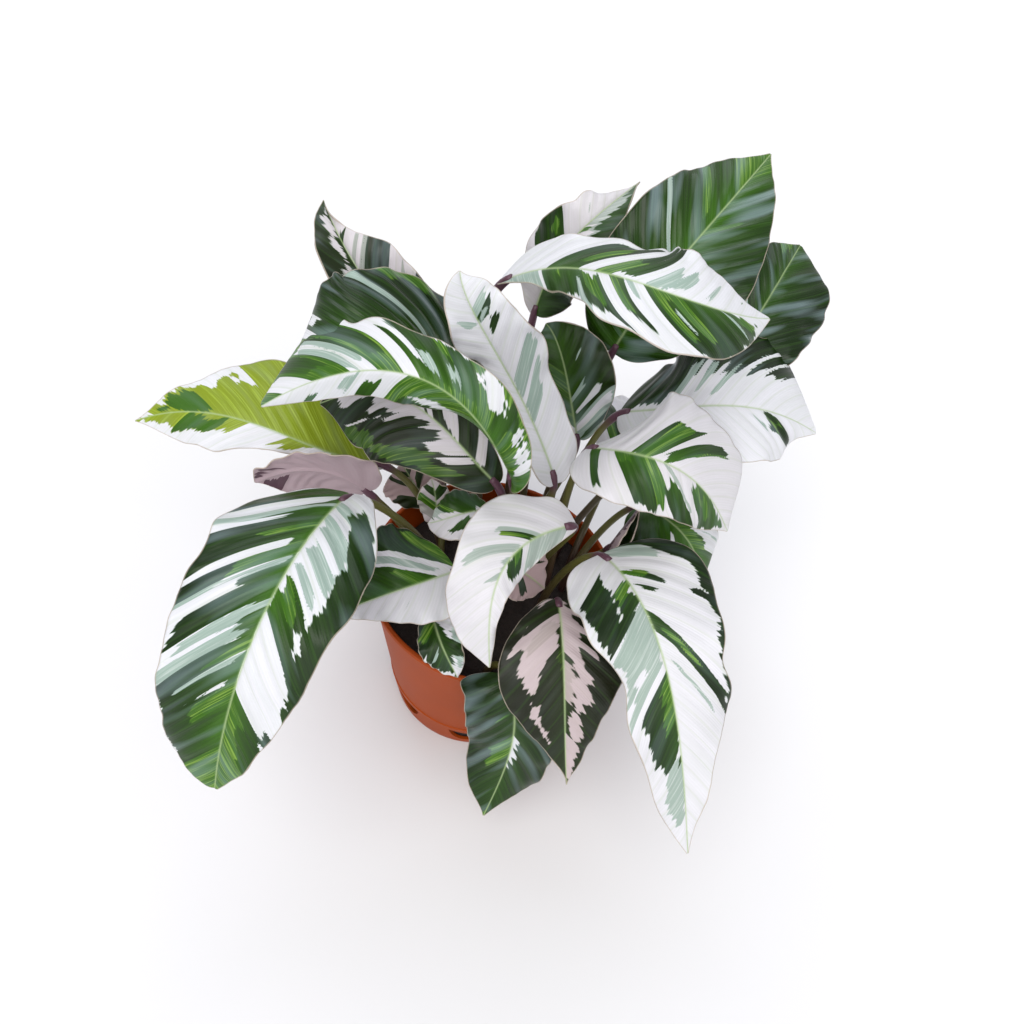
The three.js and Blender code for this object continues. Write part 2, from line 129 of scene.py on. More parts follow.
def trimAt(trim, t):
    # smooth share by which a margin stands off the plain outline, from shares at the stations
    k = np.clip(np.searchsorted(trimStations, t, side="right") - 1, 0, len(trimStations) - 2)
    f = (t - trimStations[k]) / (trimStations[k + 1] - trimStations[k])
    values = np.array(trim, float)
    return values[k] + (values[k + 1] - values[k]) * easeIn(f)


# Lateral veins leave the rib on a slant, which gains between two shares of the rib's length, and bend towards
# the tip; a few rounds find the vein that a point lies on.
veins = {"slant": 0.6, "slantGain": 0.6, "gainTo": 0.35, "gainFrom": -0.2, "bend": 0.006, "rounds": 4}
# Small forms of a blade: the turns by which the right half's waves differ from the left's, the reach of a
# lobe along the rib, the swing, distance from the rib and fade of the pleats between the veins, and how soon
# all of them are steady past the base.
folds = {
    "waveTurn": 0.37, "ruffleTurn": 0.21, "rufflePhase": 1.7, "lobeReach": 0.16, "swing": 1.8,
    "swingLength": 13, "swingTurn": 3, "pleatFrom": 6, "pleatFade": 0.6, "steady": 1.5,
}


def leafGrid(leaf, t, side):
    # middle surface of a blade at t along the rib and side from -1, left margin, to 1, right margin:
    # each half leaves the rib at its cup angle and bends on by its curl angle, and its margin waves
    rib = throughFour(leaf["rib"], t)
    along = unit(throughFour(leaf["rib"], t + 1e-3) - throughFour(leaf["rib"], t - 1e-3))
    length = np.linalg.norm(np.diff(throughFour(leaf["rib"], np.linspace(0, 1, 60)), axis=0), axis=1).sum()
    t = t[:, None]
    side = side[None, :]
    right = side > 0
    share = np.abs(side)
    faces = unit(np.array(leaf["face"], float))
    facing = faces[0] * (1 - t) + faces[1] * t
    toRight = unit(np.cross(along, facing))
    normal = np.cross(toRight, along)
    form = outline(t, leaf["point"])
    widths = [widthAt(half, t) * trimAt(trim, t) for half, trim in zip(leaf["half"], leaf["trim"])]
    width = np.where(right, widths[1], widths[0]) * form
    cup, curl = (np.radians(np.where(right, leaf[name][1], leaf[name][0])) for name in ("cup", "curl"))
    out = width * (np.sin(cup + curl * share) - np.sin(cup)) / curl
    up = width * (np.cos(cup) - np.cos(cup + curl * share)) / curl
    height, count, phase = leaf["wave"]
    soft = np.minimum(1, folds["steady"] * form)
    up = up + height * share ** 2 * soft * np.sin(2 * np.pi * (count * t + phase + folds["waveTurn"] * right))
    height, count = leaf["ruffle"]
    turns = count * t + folds["rufflePhase"] * phase + folds["ruffleTurn"] * right
    up = up + height * share ** 4 * soft * np.sin(2 * np.pi * turns)
    # lobes: near the base the margin lies back past the start of the rib
    lobe = np.where(right, leaf["lobe"][1], leaf["lobe"][0])
    back = lobe * share ** 1.5 * np.exp(-(t / folds["lobeReach"]) ** 2)
    distance = share * width
    start = t + 0 * share
    for _ in range(veins["rounds"]):
        gain = np.clip(start, veins["gainFrom"], veins["gainTo"]) / veins["gainTo"]
        slant = veins["slant"] + veins["slantGain"] * gain
        start = t - (slant * distance + veins["bend"] * distance ** 2) / length
    veinAt = start * length
    height, spacing = leaf["pleat"]
    swing = folds["swing"] * np.sin(veinAt / folds["swingLength"] + folds["swingTurn"] * right)
    pleat = height * np.sin(2 * np.pi * (veinAt + swing) / spacing)
    fade = np.minimum(1, distance / folds["pleatFrom"]) * (1 - folds["pleatFade"] * share ** 3)
    up = up + pleat * fade * soft
    place = rib[:, None, :] + toRight[:, None, :] * (np.sign(side) * out)[..., None]
    place = place + normal[:, None, :] * up[..., None] - along[:, None, :] * (back * soft)[..., None]
    return place, {"start": start, "veinAt": veinAt, "distance": distance, "width": width, "length": length,
                   "side": np.sign(side) + 0 * t}


# Each leaf in turn. rib, half, face, cup, curl, wave and point are the blade's own sizes in millimetres and
# degrees, as in the solid model; trim shapes each margin at the stations, lobe lays the base back, pleat and
# ruffle are the small folds' height and spacing and the margin's waves' height and count, and foot is where
# the stem stands. The pattern follows. A patch lies between two lateral veins, named by where they leave the
# rib as shares of its length, and reaches between two shares of the half blade's width, where 9 runs out over
# the margin; a sixth number leans it towards the tip by that share of the rib on its way to the margin. Later
# patches lie over earlier ones. lime is a lighter green by the rib. The yellow-green share from base to tip
# is a painted glow of light through the blade. The mauve share and the brown share are painted shade, over
# the pale tissue and over the greens, and gloss is the share of shine and of a painted sheen.
# The tissue has two green cell layers, upper and lower, and shows both, one or none of them. usual is what a
# leaf has where it says nothing else.
dark, fresh, sage, white = (1, 1), (1, 0), (0, 1), (0, 0)
plain = [1] * len(trimStations)
usual = {
    "cup": [15, 15], "curl": [-20, -20], "wave": [1, 2, 0], "point": 0.45, "trim": [plain, plain],
    "lobe": [0, 0], "pleat": [0.28, 8.5], "ruffle": [0.8, 7], "lime": [0.6, 9], "backlitGlow": [0, 0],
    # painted mauve shade, gloss with its painted sheen, and painted brown shade
    "mauveShade": 0.05, "gloss": 0.2, "brownShade": 0,
}
leaves = {
    "front_left": {
        "rib": [[-65, -20, 156], [-71, -76, 172], [-77, -112, 150], [-81, -132, 108]],
        "half": [[32, 31, 20], [42, 33, 28]], "face": [[-0.1, -0.3, 1], [-0.1, -0.9, 0.6]], "cup": [10, 8],
        "curl": [-25, -15], "wave": [2, 2.5, 0.1], "point": 0.1, "pleat": [0.5, 8.5], "foot": [-24, -4],
        "trim": [[1, 0.9, 0.97, 0.9, 0.8, 0.86, 1, 1.35, 1.5], [1, 1, 1, 0.87, 0.97, 1.03, 1.22, 1.7, 2.2]],
        "ground": dark, "lime": [0.9, 10], "gloss": 0.6,
        "left": [(white, -0.5, 0.68, 0, 9), (dark, 0.02, 0.09, 0.6, 0.95), (dark, -0.02, 0.03, 0.96, 9),
            (dark, 0.1, 0.35, 0.64, 9), (dark, 0.35, 0.44, 0.72, 9), (dark, 0.44, 0.5, 0.8, 9),
            (dark, 0.5, 0.56, 0.88, 9), (dark, 0.61, 0.66, 0.76, 9), (sage, 0.06, 0.08, 0.25, 0.6),
            (sage, 0.12, 0.17, 0.06, 0.66), (sage, 0.19, 0.24, 0.08, 0.62), (sage, 0.26, 0.29, 0.05, 0.5),
            (dark, 0.31, 0.43, 0.05, 0.56), (fresh, 0.32, 0.38, 0.03, 0.4), (dark, 0.66, 0.85, 0, 0.8),
            (fresh, 0.68, 0.8, 0, 0.5), (fresh, 0.8, 1.1, 0, 9)],
        "right": [(white, -0.5, -0.04, 0, 9), (white, 0.03, 0.055, 0.1, 9), (sage, 0.055, 0.09, 0, 9),
            (white, 0.09, 0.105, 0.3, 9), (fresh, 0.15, 0.17, 0, 0.5), (white, 0.205, 0.22, 0.2, 9),
            (fresh, 0.22, 0.26, 0, 0.5), (sage, 0.27, 0.29, 0.1, 0.9), (white, 0.29, 0.305, 0.45, 9),
            (white, 0.39, 0.5, 0.1, 9), (sage, 0.4, 0.43, 0, 0.8), (sage, 0.455, 0.485, 0.05, 0.9),
            (fresh, 0.52, 0.545, 0, 0.55), (sage, 0.55, 0.57, 0.1, 0.8), (white, 0.62, 0.632, 0.1, 9),
            (fresh, 0.64, 0.7, 0, 0.5), (fresh, 0.84, 1.1, 0, 9), (white, 0.3, 0.78, 0.95, 9)],
    },
    "left_low": {
        "rib": [[-61, 22, 132], [-94, 10, 146], [-131, 10, 152], [-173, 5, 140]],
        "half": [[8, 13, 24], [30, 33, 17]], "face": [[0, -0.2, 1], [0.1, -0.3, 1]], "cup": [-25, 15],
        "curl": [10, -10], "wave": [2, 2, 0], "foot": [-28, 14],
        "trim": [[1, 1, 0.8, 0.5, 0.75, 1.1, 0.95, 1, 1], [1, 1, 1, 1, 1, 1.1, 1.12, 1.5, 1.4]],
        # the yellow-green from base to tip is a painted glow of light through the blade
        "ground": fresh, "lime": [1.1, 30], "backlitGlow": [0.36, 0.4],
        "left": [(white, -0.5, 0.56, 0, 9), (fresh, -0.1, 0.4, 0, 0.2), (white, 0.44, 0.97, 0.62, 9),
            (dark, 0.62, 0.8, 0.1, 0.6)],
        "right": [(white, 0.42, 0.86, 0.74, 9), (white, 0.41, 0.5, 0.5, 0.85), (dark, 0.7, 0.9, 0.03, 0.6),
            (white, 0.93, 1.1, 0.2, 9)],
    },
    "left_arch": {
        "rib": [[-1, -1, 165], [-17, -16, 206], [-49, -16, 222], [-104, -14, 186]],
        "half": [[22, 17, 16], [16, 20, 34]], "face": [[-0.3, -0.5, 0.8], [-0.5, -0.3, 0.8]], "cup": [-62, 5],
        "curl": [-15, -15], "wave": [2, 2.5, 0], "pleat": [0.5, 8.5], "foot": [5, -3],
        "trim": [[1, 1, 1, 1, 1, 1, 1, 1.6, 2], [1, 1, 1, 0.95, 0.78, 0.77, 1.05, 2.6, 3]],
        "ground": fresh, "lime": [0.9, 12], "gloss": 0.5,
        "left": [(white, 0.05, 0.56, 0.62, 0.76), (dark, 0.1, 0.6, 0.8, 9), (white, 0.64, 1.1, 0, 9),
            (dark, 0.68, 0.73, 0.4, 9), (sage, 0.77, 0.8, 0.1, 0.7), (dark, 0.84, 0.87, 0.5, 9)],
        "right": [(white, 0.08, 0.36, 0.6, 0.86), (dark, 0.1, 0.34, 0.7, 0.76), (dark, 0.24, 0.3, 0.1, 0.62),
            (dark, 0.36, 0.44, 0.3, 9), (sage, 0.43, 0.47, 0.25, 0.62), (dark, 0.47, 0.6, 0.15, 0.92),
            (sage, 0.515, 0.555, 0.2, 0.72), (white, 0.555, 0.58, 0.3, 0.88), (white, 0.6, 0.64, 0, 9),
            (dark, 0.65, 0.7, 0.3, 0.94), (white, 0.72, 0.79, 0, 0.88), (sage, 0.72, 0.74, 0.35, 0.8),
            (sage, 0.77, 0.79, 0.1, 0.6), (dark, 0.81, 0.86, 0.2, 9), (white, 0.88, 0.94, 0, 0.8),
            (white, 0.36, 0.64, 0.94, 9)],
    },
    "left_under": {
        "rib": [[-7, 3, 156], [-31, 10, 172], [-58, 19, 178], [-91, 17, 165]],
        "half": [[19, 27, 42], [14, 16, 24]], "face": [[-0.2, -0.5, 1], [-0.5, -0.5, 1]], "cup": [0, 10],
        "wave": [1.5, 2, 0], "foot": [-9, 10], "trim": [[1, 1, 1, 1, 1, 1, 0.95, 1.3, 1.2], plain],
        "ground": dark, "lime": [0.15, 9], "mauveShade": 0.35, "brownShade": 0.4,
        "left": [(white, 0.22, 0.92, 0, 0.17), (white, 0.24, 0.28, 0, 0.34), (white, 0.36, 0.4, 0, 0.34),
            (white, 0.49, 0.53, 0, 0.36), (white, 0.64, 0.68, 0, 0.34), (white, 0.8, 0.86, 0, 0.36),
            (white, 0.16, 0.18, 0.12, 0.5), (white, 0.4, 0.425, 0.42, 0.97, 0.44),
            (fresh, 0.1, 0.7, 0.68, 0.95)],
        "right": [(white, 0.5, 0.95, 0, 0.7), (dark, 0.6, 0.65, 0.15, 9), (white, 0.29, 0.38, 0.08, 9),
            (white, 0.1, 0.16, 0.15, 9), (white, 0.44, 0.48, 0, 0.55), (dark, 0.76, 0.8, 0.2, 9)],
    },
    "centre_white": {
        "rib": [[18, 17, 150], [-6, 21, 192], [-26, 17, 225], [-37, 21, 244]],
        "half": [[12, 8, 18], [18, 17, 17]], "face": [[0.2, -1, 0.4], [0.2, -1, 0.3]], "cup": [40, 0],
        "curl": [-20, -10], "wave": [3, 1.5, 0], "foot": [8, 14],
        "trim": [[1, 1, 1, 1, 1, 1.4, 1, 1, 1], [1, 1.25, 1, 0.9, 1.15, 1, 1, 1.3, 1]],
        "ground": white, "lime": [0.3, 6],
        "left": [(sage, 0.63, 0.68, 0.1, 0.7)],
        "right": [(sage, 0.22, 0.29, 0.05, 0.55), (sage, 0.32, 0.39, 0.18, 0.72),
            (dark, 0.57, 0.7, 0.08, 0.62), (sage, 0.67, 0.75, 0.04, 0.42)],
    },
    "back_left_dark": {
        "rib": [[-32, 56, 169], [-50, 31, 203], [-69, 8, 219], [-96, 7, 198]],
        "half": [[11, 15, 18], [30, 27, 36]], "face": [[0.1, -0.6, 0.8], [-0.4, -0.4, 0.8]], "cup": [-20, 5],
        "curl": [-30, -15], "wave": [2, 2, 0], "pleat": [0.5, 8.5], "foot": [-14, 24],
        "trim": [plain, [1, 1, 1, 1.1, 1.05, 1, 1.2, 1.5, 1.5]],
        "ground": dark, "lime": [0.4, 10], "gloss": 0.9,
        "left": [],
        "right": [(sage, 0.312, 0.32, 0.05, 0.95), (fresh, 0.08, 0.2, 0.92, 9),
            (white, 0.77, 0.83, 0.35, 0.97), (white, 0.86, 0.9, 0.2, 9), (sage, 0.92, 1.1, 0, 9)],
    },
    "back_left_tall": {
        "rib": [[-53, 69, 163], [-71, 58, 190], [-90, 62, 210], [-110, 85, 221]],
        "half": [[18, 16, 20], [25, 19, 5]], "face": [[0.4, -1, 0.3], [0.4, -1, 0.3]], "cup": [50, 25],
        "curl": [-10, -20], "wave": [2, 2, 0], "foot": [-20, 34],
        "trim": [plain, [1, 1, 1, 1, 1.1, 1.35, 1.15, 1, 1]],
        "ground": dark, "lime": [0.3, 8], "mauveShade": 0.35, "gloss": 0.5, "brownShade": 0.4,
        "left": [(white, 0.42, 0.96, 0.14, 0.4), (sage, 0.34, 0.42, 0.05, 0.8), (white, 0.26, 0.34, 0, 9),
            (dark, 0.6, 0.66, 0.3, 0.6), (sage, 0.5, 0.53, 0.1, 0.5)],
        "right": [(white, 0.58, 1.1, 0, 9), (dark, 0.76, 0.79, 0, 0.5), (sage, 0.64, 0.66, 0.05, 0.9),
            (sage, 0.55, 0.59, 0, 9), (white, 0.2, 0.36, 0.45, 9), (sage, 0.26, 0.28, 0.3, 0.9)],
    },
    "right_arch": {
        "rib": [[-24, 41, 229], [7, 19, 257], [40, 6, 263], [80, 38, 243]],
        "half": [[34, 27, 30], [12, 20, 26]], "face": [[-0.2, -0.3, 1], [0.2, -0.4, 1]], "cup": [0, 5],
        "curl": [-25, -20], "wave": [4, 1.5, 0], "foot": [4, 38],
        "trim": [[1, 1, 0.75, 0.85, 1, 1.05, 1.1, 1.2, 1.5], [1, 0.6, 0.6, 0.65, 1, 1.1, 1.03, 1, 1]],
        "ground": white, "lime": [0.6, 10],
        "left": [(dark, -0.5, -0.1, 0.8, 9), (dark, 0.19, 0.3, 0.02, 0.9), (fresh, 0.25, 0.29, 0.1, 0.7),
            (dark, 0.38, 0.485, 0.08, 0.94), (fresh, 0.36, 0.43, 0, 0.4), (white, 0.43, 0.44, 0.4, 0.9),
            (sage, 0.54, 0.6, 0.02, 0.35), (sage, 0.61, 0.66, 0.15, 0.5), (fresh, 0.84, 0.88, 0.25, 0.6),
            (sage, 0.73, 0.75, 0.1, 0.6)],
        "right": [(sage, -0.2, 0.15, 0, 9), (dark, 0.17, 0.3, 0.03, 0.96), (fresh, 0.2, 0.24, 0, 0.6),
            (sage, 0.29, 0.31, 0.25, 9), (dark, 0.31, 0.38, 0.05, 0.93), (fresh, 0.32, 0.36, 0.05, 0.6),
            (dark, 0.41, 0.47, 0, 0.8), (fresh, 0.41, 0.44, 0, 0.5), (sage, 0.475, 0.5, 0, 0.4),
            (dark, 0.54, 0.82, 0, 0.93), (fresh, 0.55, 0.66, 0, 0.8), (sage, 0.59, 0.61, 0.2, 0.75),
            (sage, 0.8, 0.815, 0.05, 0.8), (dark, 0.815, 0.9, 0.1, 0.85), (fresh, 0.82, 0.87, 0.05, 0.6)],
    },
    "back_right_big": {
        "rib": [[29, 67, 190], [38, 69, 222], [54, 91, 245], [79, 147, 258]],
        "half": [[28, 31, 36], [32, 33, 30]], "face": [[-0.1, -1, 0.4], [0, -0.4, 1]], "wave": [2, 2, 0],
        "pleat": [0.9, 13], "foot": [15, 38], "trim": [[1, 1, 1, 1, 0.95, 0.93, 0.93, 1, 1], plain],
        "ground": dark, "lime": [0.8, 14], "gloss": 1,
        # the sage stripe on the left half is a painted sheen band
        "left": [(sage, 0.44, 0.46, 0.15, 0.95), (fresh, 0.64, 0.68, 0.2, 0.9), (fresh, 0.82, 1.1, 0, 9)],
        "right": [(fresh, 0.62, 0.66, 0, 0.5), (fresh, 0.88, 1.1, 0, 9)],
    },
    "back_right_far": {
        "rib": [[81, 89, 157], [90, 101, 185], [100, 124, 203], [115, 167, 209]],
        "half": [[34, 34, 36], [25, 28, 42]], "face": [[0.1, -1, 0.4], [0.3, -0.4, 1]], "cup": [12, 12],
        "wave": [3, 2, 0], "pleat": [0.9, 13], "foot": [28, 30],
        "trim": [[1, 1, 1, 1, 1, 1, 0.72, 1, 1], [1, 1, 1, 1, 1, 1.03, 1.15, 1.4, 1.6]],
        "ground": dark, "lime": [0.5, 8], "gloss": 1,
        # the sage stripe on the left half is a painted sheen band
        "left": [(sage, 0.42, 0.45, 0.2, 0.9), (fresh, 0.8, 0.95, 0.3, 9)],
        "right": [],
    },
    "back_tip_fold": {
        "rib": [[-10, 93, 182], [-5, 93, 212], [6, 93, 235], [24, 125, 242]],
        "half": [[14, 17, 8], [22, 20, 14]], "face": [[-0.2, -0.8, 0.6], [-0.2, -0.5, 0.8]], "cup": [25, 30],
        "wave": [2, 2, 0], "foot": [-2, 45], "trim": [[1, 1, 1, 1, 0.93, 0.85, 1.35, 1.3, 1], plain],
        "ground": dark, "mauveShade": 0.25,
        "left": [(white, -0.5, 1.1, 0, 9), (dark, 0.2, 0.44, 0.3, 0.93), (fresh, 0.3, 0.42, 0.35, 0.9),
            (sage, 0.55, 0.58, 0.05, 0.8), (sage, 0.64, 0.66, 0.1, 0.7)],
        "right": [(sage, 0.5, 1.1, 0, 0.32), (fresh, 0.42, 0.62, 0, 0.2), (white, 0.9, 1.1, 0, 0.5)],
    },
    "centre_back": {
        "rib": [[24, 50, 149], [15, 51, 174], [6, 54, 194], [-3, 59, 203]],
        "half": [[20, 22, 22], [19, 22, 18]], "face": [[0, -1, 0.3], [0, -1, 0.5]], "cup": [20, 20],
        "wave": [2, 2, 0], "foot": [9, 28],
        "ground": dark, "lime": [0.9, 10], "gloss": 0.6, "brownShade": 0.3,
        "left": [(fresh, -0.1, 0.5, 0, 0.65), (white, 0, 0.12, 0.1, 0.8), (sage, 0.2, 0.26, 0.1, 0.6)],
        "right": [(sage, -0.4, 0.13, 0, 9), (white, -0.12, -0.04, 0.15, 0.9), (dark, 0, 0.035, 0.25, 9),
            (white, 0.07, 0.11, 0.05, 0.9), (dark, 0.13, 0.17, 0.2, 9), (white, 0.17, 0.2, 0.02, 0.6),
            (sage, 0.26, 0.31, 0, 0.4), (sage, 0.46, 0.49, 0.2, 0.6)],
    },
    "right_white": {
        "rib": [[39, 53, 169], [67, 45, 188], [98, 58, 185], [137, 78, 163]],
        "half": [[40, 33, 58], [24, 25, 34]], "face": [[-0.2, -0.3, 1], [0.5, -0.3, 1]], "cup": [5, 0],
        "curl": [-25, -30], "wave": [2.5, 2.5, 0.2], "point": 0.2, "foot": [22, 20],
        "trim": [[1, 1, 1, 1, 1, 1, 1.22, 1.75, 1.4], [1, 1, 1, 1, 1, 1, 0.97, 0.5, 0.5]],
        "ground": white, "lime": [0.2, 6], "gloss": 0.8,
        "left": [(dark, -0.5, 0.2, 0.06, 9), (dark, 0.19, 0.62, 0.5, 9), (sage, 0.19, 0.23, 0.05, 0.7),
            (white, 0.24, 0.27, 0, 0.74), (sage, 0.28, 0.31, 0.15, 0.7), (white, 0.32, 0.35, 0, 0.72),
            (sage, 0.38, 0.41, 0.25, 0.7), (white, 0.43, 0.46, 0.3, 0.8), (white, 0.52, 0.55, 0.3, 0.82),
            (dark, 0.72, 0.88, 0.7, 9)],
        "right": [(dark, 0.18, 0.28, 0.8, 9), (sage, 0.58, 0.63, 0.12, 0.5), (dark, 0.61, 0.74, 0.12, 0.64),
            (fresh, 0.67, 0.73, 0.12, 0.4)],
    },
    "right_mid": {
        "rib": [[27, 18, 176], [47, -1, 196], [70, 1, 187], [95, 8, 155]],
        "half": [[36, 31, 42], [28, 20, 24]], "face": [[0.1, -0.4, 1], [0.6, -0.5, 0.8]], "cup": [10, -5],
        "curl": [-25, -20], "wave": [1.5, 2, 0.4], "foot": [26, 6],
        "trim": [[1, 1.25, 1.1, 1, 1, 1, 1.1, 1.7, 1], plain],
        "ground": white, "lime": [0.8, 12], "mauveShade": 0.2,
        "left": [(dark, 0.25, 0.39, 0.03, 0.68), (fresh, 0.28, 0.36, 0, 0.5),
            (dark, 0.38, 0.47, 0.03, 0.72, 0.14), (fresh, 0.45, 0.475, 0.1, 0.6, 0.14)],
        "right": [(dark, 0.03, 0.07, 0.06, 0.95), (fresh, 0.16, 0.4, 0, 0.72, 0.05),
            (dark, 0.18, 0.24, 0.3, 0.8), (dark, 0.25, 0.3, 0.05, 0.85), (dark, 0.36, 0.54, 0.3, 9, 0.05),
            (white, 0.44, 0.48, 0, 0.9, 0.2), (sage, 0.44, 0.475, 0.05, 0.8, 0.2),
            (dark, 0.58, 0.95, 0.02, 0.92, 0.1), (fresh, 0.64, 0.74, 0.03, 0.6, 0.1)],
    },
    "front_white": {
        "rib": [[29, -12, 160], [6, -41, 168], [2, -61, 158], [7, -71, 132]],
        "half": [[11, 12, 9], [31, 21, 21]], "face": [[0, -0.3, 1], [0, -1, 0.4]], "cup": [-20, 5],
        "curl": [-30, -20], "wave": [2, 2, 0], "foot": [12, -2],
        "trim": [[1, 1, 1, 0.85, 0.72, 0.58, 0.45, 0.6, 1], [1, 0.85, 0.97, 0.93, 0.87, 1, 1.03, 1, 1]],
        "ground": white, "lime": [0.35, 6], "mauveShade": 0.2,
        "left": [(sage, 0.04, 0.22, 0.05, 0.85), (dark, 0.27, 0.42, 0.03, 0.62), (fresh, 0.28, 0.33, 0, 0.4)],
        "right": [(sage, 0.16, 0.215, 0.02, 0.55), (fresh, 0.19, 0.215, 0.05, 0.45),
            (sage, 0.26, 0.32, 0.05, 0.72), (sage, 0.35, 0.5, 0, 0.09)],
    },
    "front_right_big": {
        "rib": [[42, -16, 150], [63, -50, 158], [82, -80, 136], [101, -110, 92]],
        "half": [[44, 27, 15], [36, 18, 22]], "face": [[0.1, -0.4, 1], [0.3, -0.9, 0.6]], "cup": [5, 5],
        "curl": [-20, -15], "wave": [4, 2.5, 0.1], "foot": [24, -8],
        "trim": [[1, 1, 1.03, 0.92, 0.87, 1.3, 1.12, 1.1, 1.3],
                 [1, 0.9, 0.95, 1.15, 0.93, 1.25, 1.05, 1.05, 1.2]],
        "ground": white, "lime": [0.4, 7], "mauveShade": 0.12,
        "left": [(dark, -0.5, 0.01, 0.7, 9), (dark, -0.5, 0.1, 0.8, 9), (dark, 0.1, 0.22, 0.88, 9),
            (dark, 0.2, 0.46, 0.94, 9), (dark, 0.1, 0.13, 0.7, 0.86), (sage, -0.03, 0.03, 0.25, 0.6),
            (dark, 0.09, 0.14, 0.02, 0.35), (dark, 0.17, 0.2, 0.02, 0.3), (fresh, 0.1, 0.13, 0, 0.2),
            (dark, 0.29, 0.355, 0.02, 0.86, 0.12), (fresh, 0.31, 0.34, 0.1, 0.6, 0.12),
            (sage, 0.52, 0.54, 0.85, 9), (sage, 0.43, 0.44, 0.1, 0.6, 0.1)],
        "right": [(dark, 0.05, 0.25, 0.34, 0.93), (dark, 0.14, 0.24, 0.02, 0.45), (fresh, 0.15, 0.19, 0, 0.3),
            (sage, 0.27, 0.47, 0.02, 0.86), (white, 0.39, 0.43, 0.35, 0.9), (dark, 0.5, 0.75, 0.02, 0.62),
            (fresh, 0.5, 0.64, 0, 0.36), (sage, 0.73, 0.9, 0.05, 0.55), (dark, -0.5, -0.2, 0.3, 0.9)],
    },
    "front_pink": {
        "rib": [[29, -32, 133], [35, -58, 132], [42, -75, 112], [51, -88, 80]],
        "half": [[34, 22, 12], [24, 26, 12]], "face": [[0.1, -0.5, 1], [0.1, -1, 0.3]], "cup": [10, 10],
        "foot": [32, -26], "trim": [[1, 1, 1, 1.06, 1.05, 1, 1.1, 1.4, 1], plain],
        "ground": dark, "lime": [0.3, 6], "mauveShade": 0.75, "gloss": 0.05, "brownShade": 0.6,
        "left": [(white, -0.1, 0.3, 0, 0.3), (white, 0.02, 0.06, 0, 0.44), (white, 0.1, 0.13, 0, 0.52),
            (white, 0.17, 0.21, 0, 0.54), (white, 0.3, 0.74, 0.18, 0.42), (sage, 0.34, 0.56, 0, 0.2),
            (white, 0.72, 0.95, 0, 0.6)],
        "right": [(white, 0.08, 0.26, 0.04, 0.7), (white, -0.04, 0.12, 0.64, 0.84),
            (sage, 0.09, 0.17, 0.06, 0.56), (white, 0.24, 0.36, 0.3, 0.66), (white, 0.3, 0.7, 0.48, 0.66),
            (fresh, 0.28, 0.4, 0, 0.12)],
    },
    "front_glossy": {
        "rib": [[15, -58, 110], [22, -72, 101], [25, -77, 69], [21, -90, 28]],
        "half": [[20, 19, 20], [31, 21, 24]], "face": [[0, -0.7, 0.7], [0, -1, 0.2]], "cup": [5, 5],
        "wave": [2, 2, 0], "lobe": [0, 12], "foot": [6, -45],
        "trim": [[1, 1, 1, 1, 1, 1.05, 1.25, 1, 1], [1, 1, 0.87, 0.93, 1, 1.02, 1.13, 1.2, 1]],
        "ground": dark, "lime": [0.3, 9], "gloss": 0.8,
        "left": [(white, 0.5, 0.72, 0, 0.05)],
        "right": [(fresh, 0.5, 0.64, 0.02, 0.42), (fresh, 0.28, 0.31, 0.05, 0.5), (fresh, 0.97, 1.1, 0, 9)],
    },
    "left_inner": {
        "rib": [[-16, -21, 122], [-31, -39, 130], [-47, -48, 125], [-66, -50, 106]],
        "half": [[24, 14, 8], [36, 28, 22]], "face": [[-0.1, -0.3, 1], [-0.4, -0.4, 0.8]], "cup": [-5, 10],
        "curl": [-10, -10], "foot": [0, -14],
        "ground": dark, "lime": [0.6, 12], "mauveShade": 0.1,
        "left": [(white, -0.5, 1.1, 0, 9), (sage, 0.3, 0.34, 0.2, 0.8)],
        "right": [(fresh, -0.2, 0, 0.25, 0.75), (white, -0.06, 0.14, 0, 0.95, 0.42),
            (sage, 0, 0.1, 0.05, 0.85, 0.42), (fresh, 0.24, 0.34, 0, 0.3), (white, 0.85, 1.1, 0, 9)],
    },
    "pot_small": {
        "rib": [[-23, -38, 112], [-17, -51, 114], [-11, -58, 110], [-5, -60, 99]],
        "half": [[9, 9, 9], [10, 10, 10]], "face": [[0, -0.6, 0.8], [0, -1, 0.4]], "foot": [-20, -30],
        "ground": dark, "lime": [0.3, 5],
        "left": [(white, 0.1, 0.5, 0.45, 0.6), (white, 0.45, 0.97, 0.3, 9), (sage, 0.5, 0.8, 0.5, 0.8),
            (sage, 0.1, 0.3, 0.7, 9)],
        "right": [(sage, 0.42, 0.5, 0.1, 0.8), (fresh, 0.1, 0.2, 0, 0.5), (white, 0.3, 0.9, 0.94, 9)],
    },
    "left_mauve": {
        "rib": [[-65, 6, 128], [-80, 4, 138], [-97, 1, 138], [-116, -2, 126]],
        "half": [[26, 26, 26], [26, 26, 26]], "face": [[-0.2, 1, 0.2], [-0.2, 1, 0.2]], "cup": [5, 5],
        "foot": [-35, 4], "trim": [[1, 1, 1, 0.8, 0.6, 0.5, 0.5, 0.9, 1], [1, 1, 1, 1, 1, 1, 1.1, 1.6, 1]],
        "ground": white, "mauveShade": 0.9,
        "left": [(dark, 0.7, 0.92, 0.3, 0.85)],
        "right": [(dark, 0.66, 0.9, 0.25, 0.88)],
    },
    "right_low": {
        "rib": [[59, 26, 140], [71, 15, 146], [84, 11, 138], [97, 9, 118]],
        "half": [[26, 26, 26], [26, 26, 26]], "face": [[0.1, -0.4, 1], [0.6, -0.4, 0.7]], "cup": [5, 5],
        "foot": [34, 10], "trim": [[1, 1, 1, 1, 1, 1, 1.3, 2.2, 2], plain],
        "ground": dark, "lime": [1, 9], "gloss": 0.5,
